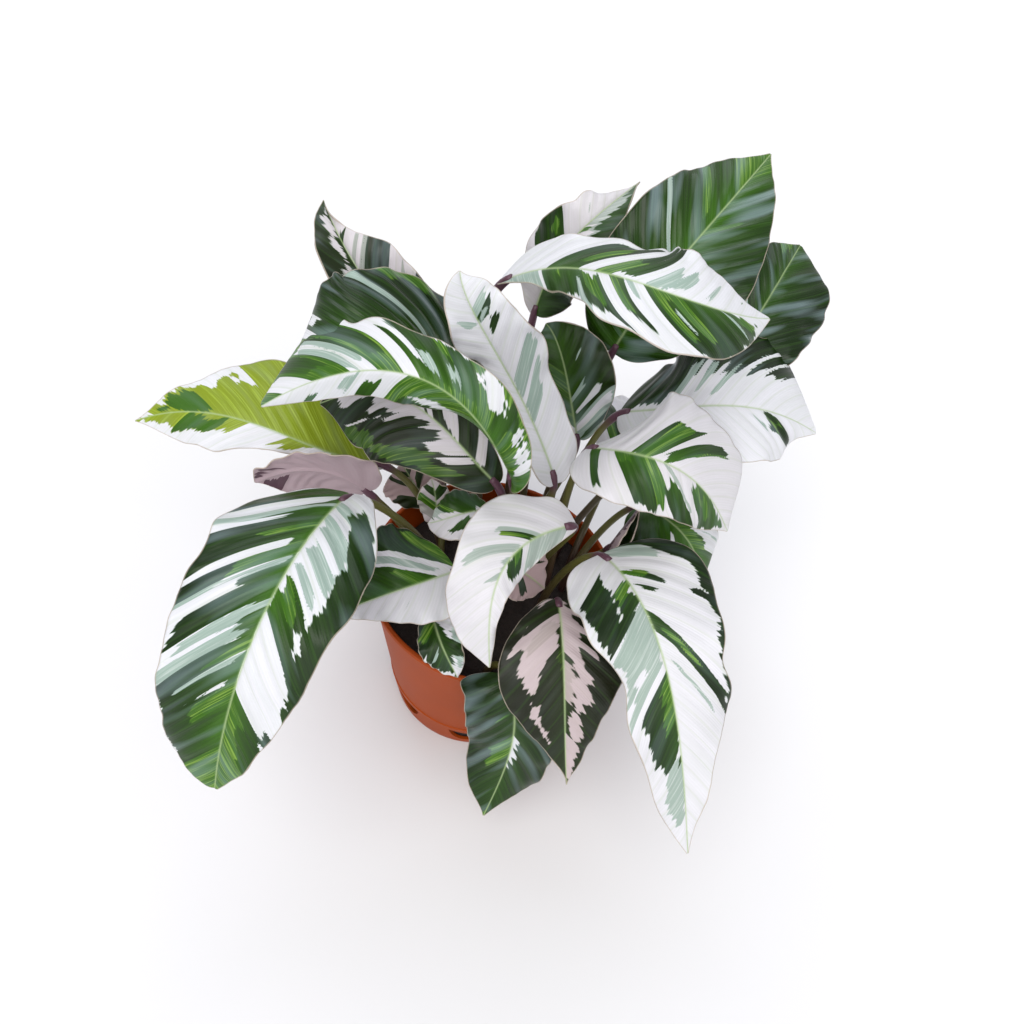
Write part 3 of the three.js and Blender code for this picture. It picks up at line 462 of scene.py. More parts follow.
        "left": [(white, 0.32, 0.68, 0.28, 9), (fresh, 0.25, 0.7, 0, 0.3), (sage, 0.45, 0.5, 0.3, 0.9)],
        "right": [(fresh, 0.6, 0.66, 0, 0.7), (white, 0.3, 0.36, 0.2, 9)],
    },
    "inner_striped": {
        "rib": [[-39, 27, 106], [-46, 27, 114], [-51, 28, 121], [-56, 30, 127]],
        "half": [[14, 16, 14], [16, 18, 16]], "face": [[0, -1, 0.4], [0, -1, 0.4]], "foot": [-26, 24],
        "ground": white, "mauveShade": 1, "brownShade": 0.6,
        "left": [(dark, 0.6, 0.75, 0, 9), (dark, 0.36, 0.45, 0.1, 9), (dark, -0.2, 0.12, 0.05, 9)],
        "right": [(dark, 0.32, 0.5, 0.1, 9), (dark, 0.66, 0.8, 0, 9)],
    },
    "inner_small": {
        "rib": [[-31, 16, 104], [-34, 17, 114], [-36, 18, 124], [-39, 20, 132]],
        "half": [[8, 9, 9], [9, 9, 9]], "face": [[0, -1, 0.4], [0, -1, 0.4]], "foot": [-28, 6],
        "ground": white, "lime": [0.4, 4], "mauveShade": 0.5,
        "left": [(sage, 0.1, 0.25, 0, 9), (fresh, 0.3, 0.45, 0, 9), (dark, 0.6, 0.8, 0, 9)],
        "right": [(sage, 0, 0.2, 0, 9), (fresh, 0.3, 0.4, 0, 9), (dark, 0.55, 0.75, 0.1, 9)],
    },
    "inner_edge": {
        "rib": [[-10, 16, 122], [-18, 10, 126], [-27, 5, 124], [-36, 6, 116]],
        "half": [[14, 14, 12], [12, 12, 12]], "face": [[0, -0.3, 1], [0, -0.3, 1]], "foot": [-3, 20],
        "ground": white, "mauveShade": 0.2,
        "left": [(dark, 0.12, 0.4, 0.3, 0.55), (dark, 0.32, 0.75, 0.42, 0.72), (dark, 0.75, 0.85, 0.8, 9)],
        "right": [(dark, -0.5, 0.85, 0.12, 9), (sage, 0.6, 0.66, 0.1, 9), (sage, 0.72, 0.78, 0, 9),
            (fresh, 0.42, 0.52, 0.1, 9)],
    },
    "rolled": {
        "rib": [[50, 11, 123], [51, 7, 137], [53, 6, 149], [55, 7, 157]],
        "half": [[14, 14, 14], [14, 14, 14]], "face": [[0, -1, 0.4], [0, -1, 0.4]], "cup": [50, 50],
        "curl": [60, 60], "wave": [0.5, 2, 0], "foot": [38, 20],
        "ground": dark, "mauveShade": 0.8, "brownShade": 0.6,
        "left": [(white, -0.5, 1.1, 0.85, 9)],
        "right": [(white, -0.5, 1.1, 0.85, 9)],
    },
    "front_shade": {
        "rib": [[4, -18, 131], [10, -23, 135], [16, -24, 133], [23, -23, 126]],
        "half": [[13, 13, 13], [13, 13, 13]], "face": [[0, -0.5, 1], [0, -0.5, 1]], "foot": [-2, -24],
        "ground": white, "mauveShade": 1, "brownShade": 0.6,
        "left": [(dark, 0.1, 0.3, 0.2, 0.8)],
        "right": [(sage, 0.22, 0.44, 0, 0.75), (dark, 0.25, 0.4, 0.1, 0.6)],
    },
    "back_low_middle": {
        "rib": [[2, 76, 125], [-8, 106, 138], [-20, 130, 120], [-30, 144, 84]],
        "half": [[32, 32, 24], [32, 32, 24]], "face": [[0, 0.3, 1], [0, 1, 0.3]], "cup": [10, 10],
        "curl": [-25, -25], "wave": [2, 2.5, 0.2], "foot": [6, 46],
        "ground": dark, "lime": [0.7, 10],
        "left": [(white, 0.1, 0.2, 0.1, 9), (sage, 0.2, 0.26, 0.2, 9), (white, 0.42, 0.5, 0.05, 0.9),
            (fresh, 0.56, 0.64, 0, 0.7), (sage, 0.72, 0.8, 0.1, 0.9), (white, 0.3, 0.8, 0.92, 9)],
        "right": [(sage, 0.06, 0.12, 0.2, 9), (white, 0.26, 0.38, 0, 9), (sage, 0.38, 0.42, 0.2, 9),
            (fresh, 0.5, 0.56, 0, 0.6), (white, 0.66, 0.76, 0.1, 9), (white, 0.1, 0.6, 0.93, 9)],
    },
    "back_low_left": {
        "rib": [[-44, 62, 118], [-62, 86, 130], [-80, 104, 116], [-96, 116, 84]],
        "half": [[28, 30, 22], [28, 30, 22]], "face": [[-0.2, 0.2, 1], [-0.6, 0.8, 0.4]], "cup": [10, 10],
        "curl": [-25, -25], "wave": [2, 2.5, 0.5], "foot": [-32, 32],
        "ground": dark, "lime": [0.8, 10],
        "left": [(white, 0.2, 0.32, 0, 9), (dark, 0.24, 0.26, 0.1, 0.8), (sage, 0.46, 0.54, 0.1, 9),
            (white, 0.64, 0.74, 0.1, 0.9), (fresh, 0.8, 0.9, 0, 0.8)],
        "right": [(white, -0.1, 0.06, 0.1, 9), (sage, 0.16, 0.24, 0.1, 0.9), (white, 0.36, 0.46, 0, 9),
            (fresh, 0.52, 0.6, 0, 0.7), (sage, 0.7, 0.78, 0.1, 9), (white, 0.2, 0.7, 0.93, 9)],
    },
    "back_low_right": {
        "rib": [[48, 72, 116], [60, 98, 126], [76, 118, 110], [90, 130, 76]],
        "half": [[28, 30, 22], [28, 30, 22]], "face": [[0.1, 0.2, 1], [0.5, 0.8, 0.4]], "cup": [10, 10],
        "curl": [-25, -25], "wave": [2, 2.5, 0.8], "foot": [36, 24],
        "ground": white, "lime": [0.5, 9], "mauveShade": 0.15,
        "left": [(dark, 0.04, 0.14, 0, 0.9), (fresh, 0.05, 0.09, 0, 0.5), (dark, 0.28, 0.4, 0, 0.95),
            (sage, 0.4, 0.46, 0.1, 0.8), (dark, 0.58, 0.7, 0, 0.9), (fresh, 0.6, 0.64, 0, 0.5)],
        "right": [(dark, -0.1, 0.04, 0.2, 9), (dark, 0.16, 0.27, 0, 0.85), (fresh, 0.18, 0.22, 0, 0.5),
            (sage, 0.34, 0.4, 0.1, 0.9), (dark, 0.46, 0.58, 0, 0.95), (dark, 0.74, 0.88, 0, 0.9)],
    },
}

# How a patch's field is made, in millimetres: by how much it falls for each millimetre along a vein, the half
# width of the narrowest patch that a blade's points can show, where a field stops, and a distance past any.
field = {"feather": 0.36, "narrowest": 1.3, "limit": 30.0, "beyond": 99.0}


def layerFields(leaf, grid):
    # how far each point is inside the upper and the lower green layer
    start = grid["start"] * grid["length"]
    distance, width, length = grid["distance"], grid["width"], grid["length"]
    limit, beyond = field["limit"], field["beyond"]
    layers = [np.full(start.shape, limit if there else -limit) for there in leaf["ground"]]
    for half, sign in (("left", -1), ("right", 1)):
        here = grid["side"] * sign >= 0
        for patchLayers, first, last, near, far, *lean in leaf[half]:
            along = start - (sum(lean) * distance / width + (first + last) / 2) * length
            across = max((last - first) / 2 * length, field["narrowest"]) - np.abs(along)
            inner = distance - near * width if near > 0 else beyond
            outer = far * width - distance if far < 1 else beyond
            inside = np.minimum(across, field["feather"] * np.minimum(inner, outer))
            inside = np.where(here, inside, -beyond)
            for k in (0, 1):
                if patchLayers[k]:
                    layers[k] = np.maximum(layers[k], inside)
                else:
                    layers[k] = np.minimum(layers[k], -inside)
    return [np.clip(layer, -limit, limit) for layer in layers]


lamina = {
    # Four of these colours are painted light: a yellow-green glow of light through the blade, a mauve and a
    # brown painted shade, and a bluish painted sheen.
    "deepGreen": "#060f02", "darkGreen": "#132a07", "midGreen": "#37620f", "limeGreen": "#86a944",
    "backlitGlow": "#b9c12c", "sage": "#93aa9e", "paleSage": "#c2cfc8", "white": "#e8e8f0", "cream": "#cdd1d0",
    "mauveShade": "#b39c9b", "rib": "#a3b983", "underGreen": "#4f3440", "underWhite": "#a8959a",
    "margin": "#b9ad9c", "paintedSheen": "#a3bac0", "brownShade": "#1f1a10",
    # noises in the blade's own directions: millimetres from streak to streak across the veins and along them,
    # a shift, and the noise's detail
    "streaks": {"torn": (2.8, 45, 0, 2), "wide": (15, 40, 51, 1), "broad": (9, 26, 72, 1),
                "slow": (6, 30, 21, 2), "fast": (0.9, 18, 33, 3)},
    # waves across the veins: millimetres between them, how crooked they are and their detail; real fine veins
    # are closer, too fine to show
    "waves": {"fineVein": (1.5, 0.4, 2.0), "nerve": (8.5, 0.8, 1.0)},
    "tear": 3.4,            # millimetres by which streaks push a patch's edge to and fro
    "drift": 6.0,           # millimetres by which wide clouds push it
    # shares: what each is read from, the two values that it turns between there, and its own at each of them;
    # upper and lower turn within the millimetres of a patch's soft edge
    "ranges": {"upper": ("upperEdge", -0.12, 0.12, 0.0, 1.0), "lower": ("lowerEdge", -0.12, 0.12, 0.0, 1.0),
               "flecks": ("fast", 0.5, 0.68, 0.0, 0.8), "specks": ("fast", 0.5, 0.68, 0.0, 0.16),
               # sheen: where a painted sheen, a bluish highlight between the veins, lies on glossy greens
               "sheen": ("broad", 0.5, 0.68, 0.0, 0.34), "nerves": ("nerve", 0.9, 1.0, 0.0, 0.16),
               "bands": ("fineVein", 0.0, 1.0, 0.0, 0.25), "rim": ("edge", 0.2, 0.5, 0.75, 0.0)},
    "limeSlow": 1.3,        # how much of the slow streaks joins the fast ones in the lime
    "bandRelief": 0.35, "relief": 0.35, "reliefHeight": 0.2,
    "rough": 0.33, "roughFast": 0.12, "roughGloss": -0.12, "specular": 0.27,
    "through": 0.16,        # share of the light that the blade lets through
}


def laminaMaterial():
    # Living leaf: a waxy cuticle over green and white tissue. Satin gloss, streaks along the veins,
    # torn-looking patch edges, a little light through the blade, and a mauve underside.
    material, tree = startMaterial("leaf_cuticle")
    vein = addNode(tree, "Attribute", {"attribute_name": "vein"}, out=1)
    share = {name: addNode(tree, "Attribute", {"attribute_name": name}, out=2) for name in (
        "upper", "lower", "lime", "backlitGlow", "mauveShade", "under", "edge", "gloss", "brownShade", "ribLine")}
    for name, (across, along, shift, detail) in lamina["streaks"].items():
        place = addNode(tree, "Mapping", None,
                        {0: vein, 1: (shift, shift, shift), 3: (1 / across, 1 / along, 1.0)})
        share[name] = addNode(tree, "TexNoise", None,
                              {"Vector": place, "Scale": 1.0, "Detail": detail, "Roughness": 0.6})
    for name, (spacing, crooked, detail) in lamina["waves"].items():
        # a wave texture of scale 1 repeats every 2 pi / 20
        scale = 2 * np.pi / 20 / spacing
        share[name] = addNode(tree, "TexWave", {"bands_direction": "X"},
                              {"Vector": vein, "Scale": scale, "Distortion": crooked, "Detail": detail})

    # each sum is a share times a number or another share, plus a number or a third share
    tear, drift = lamina["tear"], lamina["drift"]
    sums = {
        "push": ("torn", tear, -0.5 * (tear + drift)), "shift": ("wide", drift, "push"),
        "upperEdge": ("upper", 1.0, "shift"), "lowerEdge": ("lower", 1.0, "shift"),
        "limeStreaks": ("slow", lamina["limeSlow"], "fast"), "lime": ("lime", "limeStreaks", 0.0),
        "height": ("fineVein", lamina["bandRelief"], "fast"),
        "satin": ("fast", lamina["roughFast"], lamina["rough"]),
        "roughness": ("gloss", lamina["roughGloss"], "satin"),
    }
    for name, values in sums.items():
        share[name] = addNode(tree, "Math", {"operation": "MULTIPLY_ADD"},
                              {k: share.get(value, value) for k, value in enumerate(values)})
    for name, (source, low, high, first, last) in lamina["ranges"].items():
        share[name] = addNode(tree, "MapRange", None, {0: share[source], 1: low, 2: high, 3: first, 4: last})
    # painted sheen: bluish highlight bands laid into the colour of glossy greens, as strong as their gloss
    share["paintedSheen"] = addNode(tree, "Math", {"operation": "MULTIPLY"}, {0: share["sheen"], 1: share["gloss"]})

    # each step mixes two earlier colours by a share: the greens, the sage and the white, then the layers over
    # one another
    tints = {name: linearColour(value) for name, value in lamina.items() if str(value).startswith("#")}
    steps = [
        ("dark", "slow", "deepGreen", "darkGreen"), ("dark", "specks", "dark", "midGreen"),
        ("dark", "lime", "dark", "midGreen"), ("fresh", "flecks", "midGreen", "limeGreen"),
        # painted shade: brown laid over the dark and the fresh greens
        ("dark", "brownShade", "dark", "brownShade"), ("fresh", "brownShade", "fresh", "brownShade"),
        # a yellow-green painted glow of light through the blade over the fresh green
        ("fresh", "backlitGlow", "fresh", "backlitGlow"), ("sage", "flecks", "sage", "paleSage"),
        ("white", "slow", "cream", "white"), ("white", "bands", "white", "cream"),
        ("white", "specks", "white", "paleSage"), ("white", "nerves", "white", "rib"),
        # painted sheen: a bluish highlight over the dark greens
        ("dark", "nerves", "dark", "midGreen"), ("dark", "paintedSheen", "dark", "paintedSheen"),
        # painted sheen over the fresh green, and painted mauve shade over the white and the sage
        ("fresh", "paintedSheen", "fresh", "paintedSheen"), ("white", "mauveShade", "white", "mauveShade"),
        ("sage", "mauveShade", "sage", "mauveShade"), ("pale", "lower", "white", "sage"),
        ("green", "lower", "fresh", "dark"), ("top", "upper", "pale", "green"),
        ("top", "ribLine", "top", "rib"), ("below", "upper", "underWhite", "underGreen"),
        ("skin", "under", "top", "below"), ("skin", "rim", "skin", "margin"),
    ]
    for result, by, first, second in steps:
        tints[result] = addNode(tree, "Mix", {"data_type": "RGBA"},
                                {0: share[by], 6: tints[first], 7: tints[second]}, out=2)

    bump = addNode(tree, "Bump", None, {
        "Strength": lamina["relief"], "Distance": lamina["reliefHeight"] * mm, "Height": share["height"]})
    surface = addNode(tree, "BsdfPrincipled", None, {
        "Base Color": tints["skin"], "Roughness": share["roughness"], "IOR": 1.5,
        "Specular IOR Level": lamina["specular"], "Normal": bump})
    through = addNode(tree, "BsdfTranslucent", None, {"Color": tints["skin"], "Normal": bump})
    blade = addNode(tree, "MixShader", None, {0: lamina["through"], 1: surface, 2: through})
    addNode(tree, "OutputMaterial", None, {"Surface": blade})
    return material


petiole = {
    "foot": "#3c2324", "middle": "#565525", "pulvinus": "#523340", "streak": 1.2,
    "footRadius": 2.0, "radius": 1.5, "pulvinusRadius": 1.85, "footDepth": 9.0, "sides": 14, "rings": 44,
    "relief": 0.2, "rough": 0.42,
    # shares of its reach by which the stem rises and necks over, and of the rib that it runs on under
    "rise": 0.45, "neck": 0.25, "into": 0.05,
    # between which shares of the stem it turns olive, reddens and swells, and thins again from its end back
    "turns": (0.1, 0.7), "reddens": (0.83, 0.91), "swells": (0.85, 0.9), "thins": (1.0, 0.96),
}


def petioleMaterial():
    # Living stalk: smooth and slightly waxy, maroon at the foot, olive above, plum where it swells
    material, tree = startMaterial("stalk_skin")
    along = addNode(tree, "Attribute", {"attribute_name": "along"}, out=2)
    place = addNode(tree, "TexCoord", out=3)
    fine = addNode(tree, "TexNoise", None,
                   {"Vector": place, "Scale": 1 / (petiole["streak"] * mm), "Detail": 2.0})
    colour = linearColour(petiole["foot"])
    for name, stretch in (("middle", "turns"), ("pulvinus", "reddens")):
        first, last = petiole[stretch]
        turned = addNode(tree, "MapRange", None, {0: along, 1: first, 2: last})
        colour = addNode(tree, "Mix", {"data_type": "RGBA"},
                         {0: turned, 6: colour, 7: linearColour(petiole[name])}, out=2)
    bump = addNode(tree, "Bump", None, {"Strength": 0.3, "Distance": petiole["relief"] * mm, "Height": fine})
    skin = addNode(tree, "BsdfPrincipled", None,
                   {"Base Color": colour, "Roughness": petiole["rough"], "IOR": 1.45, "Normal": bump})
    addNode(tree, "OutputMaterial", None, {"Surface": skin})
    return material


def shareBetween(at, ends):
    # 0 up to the first end and 1 past the last, in a straight line between them
    first, last = ends
    return np.clip((at - first) / (last - first), 0, 1)


def stalkGrid(leaf):
    # a Bezier path from the foot straight up and over into the start of the rib, with rings square to it
    foot = np.array([*leaf["foot"], soil["top"] - petiole["footDepth"]], float)
    end = throughFour(leaf["rib"], np.array([petiole["into"]]))[0]
    into = unit(end - np.array(leaf["rib"][0], float))
    reach = np.linalg.norm(end - foot)
    rise = foot + [0, 0, reach * petiole["rise"]]
    neck = end - into * reach * petiole["neck"]
    t = np.linspace(0, 1, petiole["rings"])[:, None]
    path = foot * (1 - t) ** 3 + 3 * rise * t * (1 - t) ** 2 + 3 * neck * t * t * (1 - t) + end * t ** 3
    step = np.linalg.norm(np.diff(path, axis=0), axis=1)
    at = np.concatenate([[0], np.cumsum(step)]) / step.sum()
    along = unit(np.gradient(path, axis=0))
    across = unit(np.cross(along, [0.3, 1.0, 0.1]))      # a direction that no stem takes
    up = np.cross(across, along)
    radius = petiole["footRadius"] + (petiole["radius"] - petiole["footRadius"]) * at
    swell = shareBetween(at, petiole["swells"]) * shareBetween(at, petiole["thins"])
    radius = radius + (petiole["pulvinusRadius"] - petiole["radius"]) * easeIn(swell)
    angle = np.linspace(0, 2 * np.pi, petiole["sides"], endpoint=False)
    ring = across[:, None] * np.cos(angle)[None, :, None] + up[:, None] * np.sin(angle)[None, :, None]
    return path[:, None] + ring * radius[:, None, None], at


blade = {
    # points from base to tip and from rib to margin, on a large blade and on one of a smaller half width
    "rows": (150, 70), "columns": (37, 19), "smallHalf": 17, "start": 0.004, "end": 0.992,
    # rows crowd towards the base and the tip, and columns towards the rib; the rest is evenly spaced
    "even": 0.35, "columnPower": 1.6,
    "thick": 0.5, "groove": 0.3, "keel": 0.9, "grooveWidth": 0.9, "thinBelow": 4,
    # the pale line on the rib: its share, its width at the tip and what that gains to the base; and the step
    # of the streaks from leaf to leaf
    "ribLine": 0.75, "lineTip": 0.25, "lineGrowth": 0.35, "seedStep": 11.7,
}


def leafPiece(name, leaf, materials):
    # two sheets, half the thickness above and below the middle surface, with a groove above the rib and a
    # keel below it that fall off as exp(-(distance / width)^2), closed round the margin, and the stem
    small = max(leaf["half"][0][1], leaf["half"][1][1]) < blade["smallHalf"]
    even = blade["even"]
    x = np.linspace(0, 1, blade["rows"][small])
    x = even * x + (1 - even) * (1 - np.cos(np.pi * x)) / 2
    t = blade["start"] + (blade["end"] - blade["start"]) * x
    x = np.linspace(-1, 1, 2 * blade["columns"][small] - 1)
    side = np.sign(x) * (even * np.abs(x) + (1 - even) * np.abs(x) ** blade["columnPower"])
    middle, grid = leafGrid(leaf, t, side)
    distance = grid["distance"]
    normal = unit(np.cross(np.gradient(middle, axis=1), np.gradient(middle, axis=0)))
    groove = np.exp(-(distance / blade["grooveWidth"]) ** 2)[..., None]
    groove = groove * np.minimum(1, grid["width"] / blade["thinBelow"])[..., None]
    above = middle + normal * (blade["thick"] / 2 - blade["groove"] * groove)
    below = middle - normal * (blade["thick"] / 2 + blade["keel"] * groove)
    count = t.size * side.size
    numbers = np.arange(count).reshape(t.size, side.size)
    margin = np.concatenate([numbers[0, :-1], numbers[:-1, -1], numbers[-1, :0:-1], numbers[:0:-1, 0]])
    ahead = np.roll(margin, -1)
    rim = np.stack([margin, margin + count, ahead + count, ahead], -1)
    underside = gridFaces(t.size, side.size, count, flip=True)
    bladeFaces = np.concatenate([gridFaces(t.size, side.size), underside, rim])

    stalk, at = stalkGrid(leaf)
    rings, sides = stalk.shape[:2]
    stalkFirst = 2 * count
    stalkFaces = gridFaces(rings, sides, stalkFirst, wrap=True)
    caps = [list(range(stalkFirst + sides - 1, stalkFirst - 1, -1)),
            list(range(stalkFirst + (rings - 1) * sides, stalkFirst + rings * sides))]

    upper, lower = layerFields(leaf, grid)
    share = t[:, None] + 0 * distance
    lime, reach = leaf["lime"]
    # a yellow-green painted glow of light through the blade, from base to tip
    base, tip = leaf["backlitGlow"]
    seed = (sorted(leaves).index(name) + 1) * blade["seedStep"]
    lineWidth = blade["lineTip"] + blade["lineGrowth"] * (1 - share)
    values = {
        "upper": upper, "lower": lower, "lime": lime * np.exp(-distance / reach),
        "edge": np.minimum(grid["width"] - distance, (1 - share) * grid["length"]),
        "ribLine": blade["ribLine"] * np.exp(-(distance / lineWidth) ** 2),
        "backlitGlow": np.maximum(base + (tip - base) * share, 0),
    }
    # shares that are the same all over a blade: painted mauve shade, gloss with its painted sheen, and
    # painted brown shade
    values.update({key: np.full_like(share, leaf[key]) for key in ("mauveShade", "gloss", "brownShade")})
    stalkPoints = rings * sides
    attributes = {key: np.concatenate([value.ravel(), value.ravel(), np.zeros(stalkPoints)])
                  for key, value in values.items()}
    vein = np.stack([grid["veinAt"], distance * grid["side"], np.full_like(share, seed)], -1).reshape(-1, 3)
    attributes["vein"] = np.concatenate([vein, vein, np.zeros((stalkPoints, 3))])
    attributes["under"] = np.concatenate([np.zeros(count), np.ones(count), np.zeros(stalkPoints)])
    attributes["along"] = np.concatenate([np.zeros(2 * count), np.repeat(at, sides)])
    faces = np.concatenate([bladeFaces, stalkFaces]).tolist() + caps
    materialIndex = np.zeros(len(faces), np.int32)
    materialIndex[len(bladeFaces):] = 1
    points = np.concatenate([above.reshape(-1, 3), below.reshape(-1, 3), stalk.reshape(-1, 3)])
    piece = meshPiece("plant_" + name, points, faces, materials, materialIndex, attributes)
    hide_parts("leaf_" + name)
    return piece


pot = {
    "height": 98, "rimRadius": 60, "baseRadius": 43, "neckRadius": 58.2, "lip": 4, "footBand": 22,
    "footStep": 0.6, "stepHeight": 0.8, "wall": 1.5, "floor": 2, "columns": 24, "slots": 8, "firstSlot": 230,
    "slotTop": 18, "slotWidth": 17, "slotHeight": 12, "colour": "#9a400c", "dull": "#8c3809",
    "cloud": 25, "grain": 0.9, "relief": 0.1, "rough": 0.52, "specular": 0.16,
}


def potMaterial():
    # Injection-moulded polypropylene: evenly coloured, soft satin, with a faint skin from the mould
    material, tree = startMaterial("moulded_polypropylene")
    place = addNode(tree, "TexCoord", out=3)
    cloud = addNode(tree, "TexNoise", None,
                    {"Vector": place, "Scale": 1 / (pot["cloud"] * mm), "Detail": 3.0})
    grain = addNode(tree, "TexNoise", None,
                    {"Vector": place, "Scale": 1 / (pot["grain"] * mm), "Detail": 2.0})
    colour = addNode(tree, "Mix", {"data_type": "RGBA"},
                     {0: cloud, 6: linearColour(pot["dull"]), 7: linearColour(pot["colour"])}, out=2)
    bump = addNode(tree, "Bump", None, {"Strength": 0.25, "Distance": pot["relief"] * mm, "Height": grain})
    skin = addNode(tree, "BsdfPrincipled", None,
                   {"Base Color": colour, "Roughness": pot["rough"], "IOR": 1.49,
                    "Specular IOR Level": pot["specular"], "Normal": bump})
    addNode(tree, "OutputMaterial", None, {"Surface": skin})
    return material


def wallRadius(z):
    # the wall leans out evenly from the base to the neck
    return pot["baseRadius"] + (pot["neckRadius"] - pot["baseRadius"]) * z / (pot["height"] - pot["lip"])


def outerRadius(z):
    # the wall with its foot band, which stands out most at its top
    foot = pot["footBand"]
    step = shareBetween(z, (foot + pot["stepHeight"], foot)) * shareBetween(z, (0, foot))
    return wallRadius(z) + pot["footStep"] * step


def potPiece():
    # a closed profile turned round the axis; two of its rows follow the drainage slots' bowed and straight
    # edges, and the strip between them is left out of both walls and joined through the wall
    height, rim, base, floor = pot["height"], pot["rimRadius"], pot["baseRadius"], pot["floor"]
    foot, slotTop, perSlot = pot["footBand"], pot["slotTop"], pot["columns"]
    neck = height - pot["lip"]
    columns = perSlot * pot["slots"]
    angle = np.radians(pot["firstSlot"]) + 2 * np.pi * np.arange(columns) / columns
    local = (np.arange(columns) % perSlot) / perSlot
    local = np.where(local > 0.5, local - 1, local) * 2 * np.pi / pot["slots"]
    half = pot["slotWidth"] / 2 / wallRadius(slotTop)
    bow = pot["slotHeight"] * np.sqrt(np.clip(1 - (local / half) ** 2, 0, 1))
    lowEdge = slotTop - bow
    straight = slotTop + 0 * bow

    # under the floor and round its edge, then up outside, with the slot's two edges as fourth and fifth row
    rows = [(0.0, 0.0), (0.5 * base, 0.0), (base - 1, 0.0), (base - 0.3, 0.25)]
    outerLow = len(rows) + 3
    outerTop = outerLow + 1
    up = [1, 0.35 * lowEdge, 0.7 * lowEdge, lowEdge, straight, foot, foot + pot["stepHeight"]]
    up += [foot + (neck - foot) * s for s in (0.25, 0.5, 0.75)] + [neck]
    rows += [(outerRadius(z), z) for z in up]
    # out round the lip, over its edges and down inside it
    rows += [(rim - 1.2, neck + 0.2), (rim - 0.5, neck + 0.8), (rim, neck + 1.6), (rim, height - 1.2),
             (rim - 0.3, height - 0.3), (rim - 0.9, height), (rim - 1.8, height), (rim - 2.3, height - 0.4),
             (rim - 2.4, height - 1.0), (pot["neckRadius"] - pot["wall"], neck - 2)]
    # down inside with the slot's edges as its fourth and fifth row, and in over the floor
    innerTop = len(rows) + 3
    innerLow = innerTop + 1
    down = [neck - 20, neck - 40, foot + 4, straight, lowEdge, 0.5 * lowEdge + 1, floor + 1]
    rows += [(wallRadius(z) - pot["wall"], z) for z in down]
    rows += [(wallRadius(floor) - pot["wall"] - 1, floor), (0.5 * base, floor), (0.0, floor)]

    radius = np.stack([r + 0 * local for r, _ in rows])
    z = np.stack([z + 0 * local for _, z in rows])
    points = np.stack([radius * np.cos(angle), radius * np.sin(angle), z], -1)
    numbers = np.arange(len(rows) * columns).reshape(len(rows), columns)
    # where no slot is, its two edges are one, and so are the points on the axis
    cut = bow > 1e-6
    numbers[outerTop] = np.where(cut, numbers[outerTop], numbers[outerLow])
    numbers[innerTop] = np.where(cut, numbers[innerTop], numbers[innerLow])
    numbers[0] = numbers[0, 0]
    numbers[-1] = numbers[-1, 0]
    ahead = np.roll(numbers, -1, axis=1)
    besideCut = cut | np.roll(cut, -1)
    strips = [(i, i + 1, slice(None)) for i in range(len(rows) - 1) if i not in (outerLow, innerTop)]
    strips += [(innerLow, outerLow, besideCut), (outerTop, innerTop, besideCut)]
    quads = [np.stack([numbers[a], ahead[a], ahead[b], numbers[b]], -1)[where] for a, b, where in strips]
    # quads that have shrunk to a line are left out, and points that no face uses too
    faces = [list(dict.fromkeys(face)) for face in np.concatenate(quads).tolist()]
    faces = [face for face in faces if len(face) > 2]
    used, compact = np.unique(np.concatenate(faces), return_inverse=True)
    ends = np.cumsum([0] + [len(face) for face in faces])
    faces = [compact[a:b].tolist() for a, b in zip(ends[:-1], ends[1:])]
    piece = meshPiece("nursery_pot", points.reshape(-1, 3)[used], faces, [potMaterial()])
    sharp = piece.modifiers.new("edges", "EDGE_SPLIT")
    sharp.split_angle = np.radians(35)
    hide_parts("pot")
    return piece


soil = {
    "top": 84, "bottom": 2.3, "clearance": 0.4, "lump": 1.6, "columns": 220, "rows": 90, "edge": 0.985,
    # the ripples' and the crumbs' lengths over a turn of 2 pi, and how high and how crooked the crumbs are
    "ripples": (7, 6, 11), "crumbs": (1.9, 3.1, 1.7, 2.7), "crumb": 0.45, "crooked": 2,
    "colour": "#120d0a", "pale": "#2b2019", "grain": 2.2, "relief": 1.2, "rough": 0.95,
}


def soilMaterial():
    # Potting peat: matt, crumbly and nearly black when damp
    material, tree = startMaterial("damp_peat")
    place = addNode(tree, "TexCoord", out=3)
    crumb = addNode(tree, "TexNoise", None,
                    {"Vector": place, "Scale": 1 / (soil["grain"] * mm), "Detail": 5.0})
    colour = addNode(tree, "Mix", {"data_type": "RGBA"},
                     {0: crumb, 6: linearColour(soil["colour"]), 7: linearColour(soil["pale"])}, out=2)
    bump = addNode(tree, "Bump", None, {"Strength": 0.9, "Distance": soil["relief"] * mm, "Height": crumb})
    peat = addNode(tree, "BsdfPrincipled", None,
                   {"Base Color": colour, "Roughness": soil["rough"], "Normal": bump})
    addNode(tree, "OutputMaterial", None, {"Surface": peat})
    return material


def soilHeight(x, y):
    # a few long ripples, as in the solid model, and short crumbly ones
    a, b, c = soil["ripples"]
    long = np.sin(x / a + 1) * np.cos(y / b) + np.sin((x + y) / c)
    a, b, c, d = soil["crumbs"]
    bend = soil["crooked"]
    short = np.sin(x / a + bend * np.sin(y / b)) * np.sin(y / c + bend * np.sin(x / d))
    return soil["top"] + soil["lump"] / 2 * long + soil["crumb"] * short


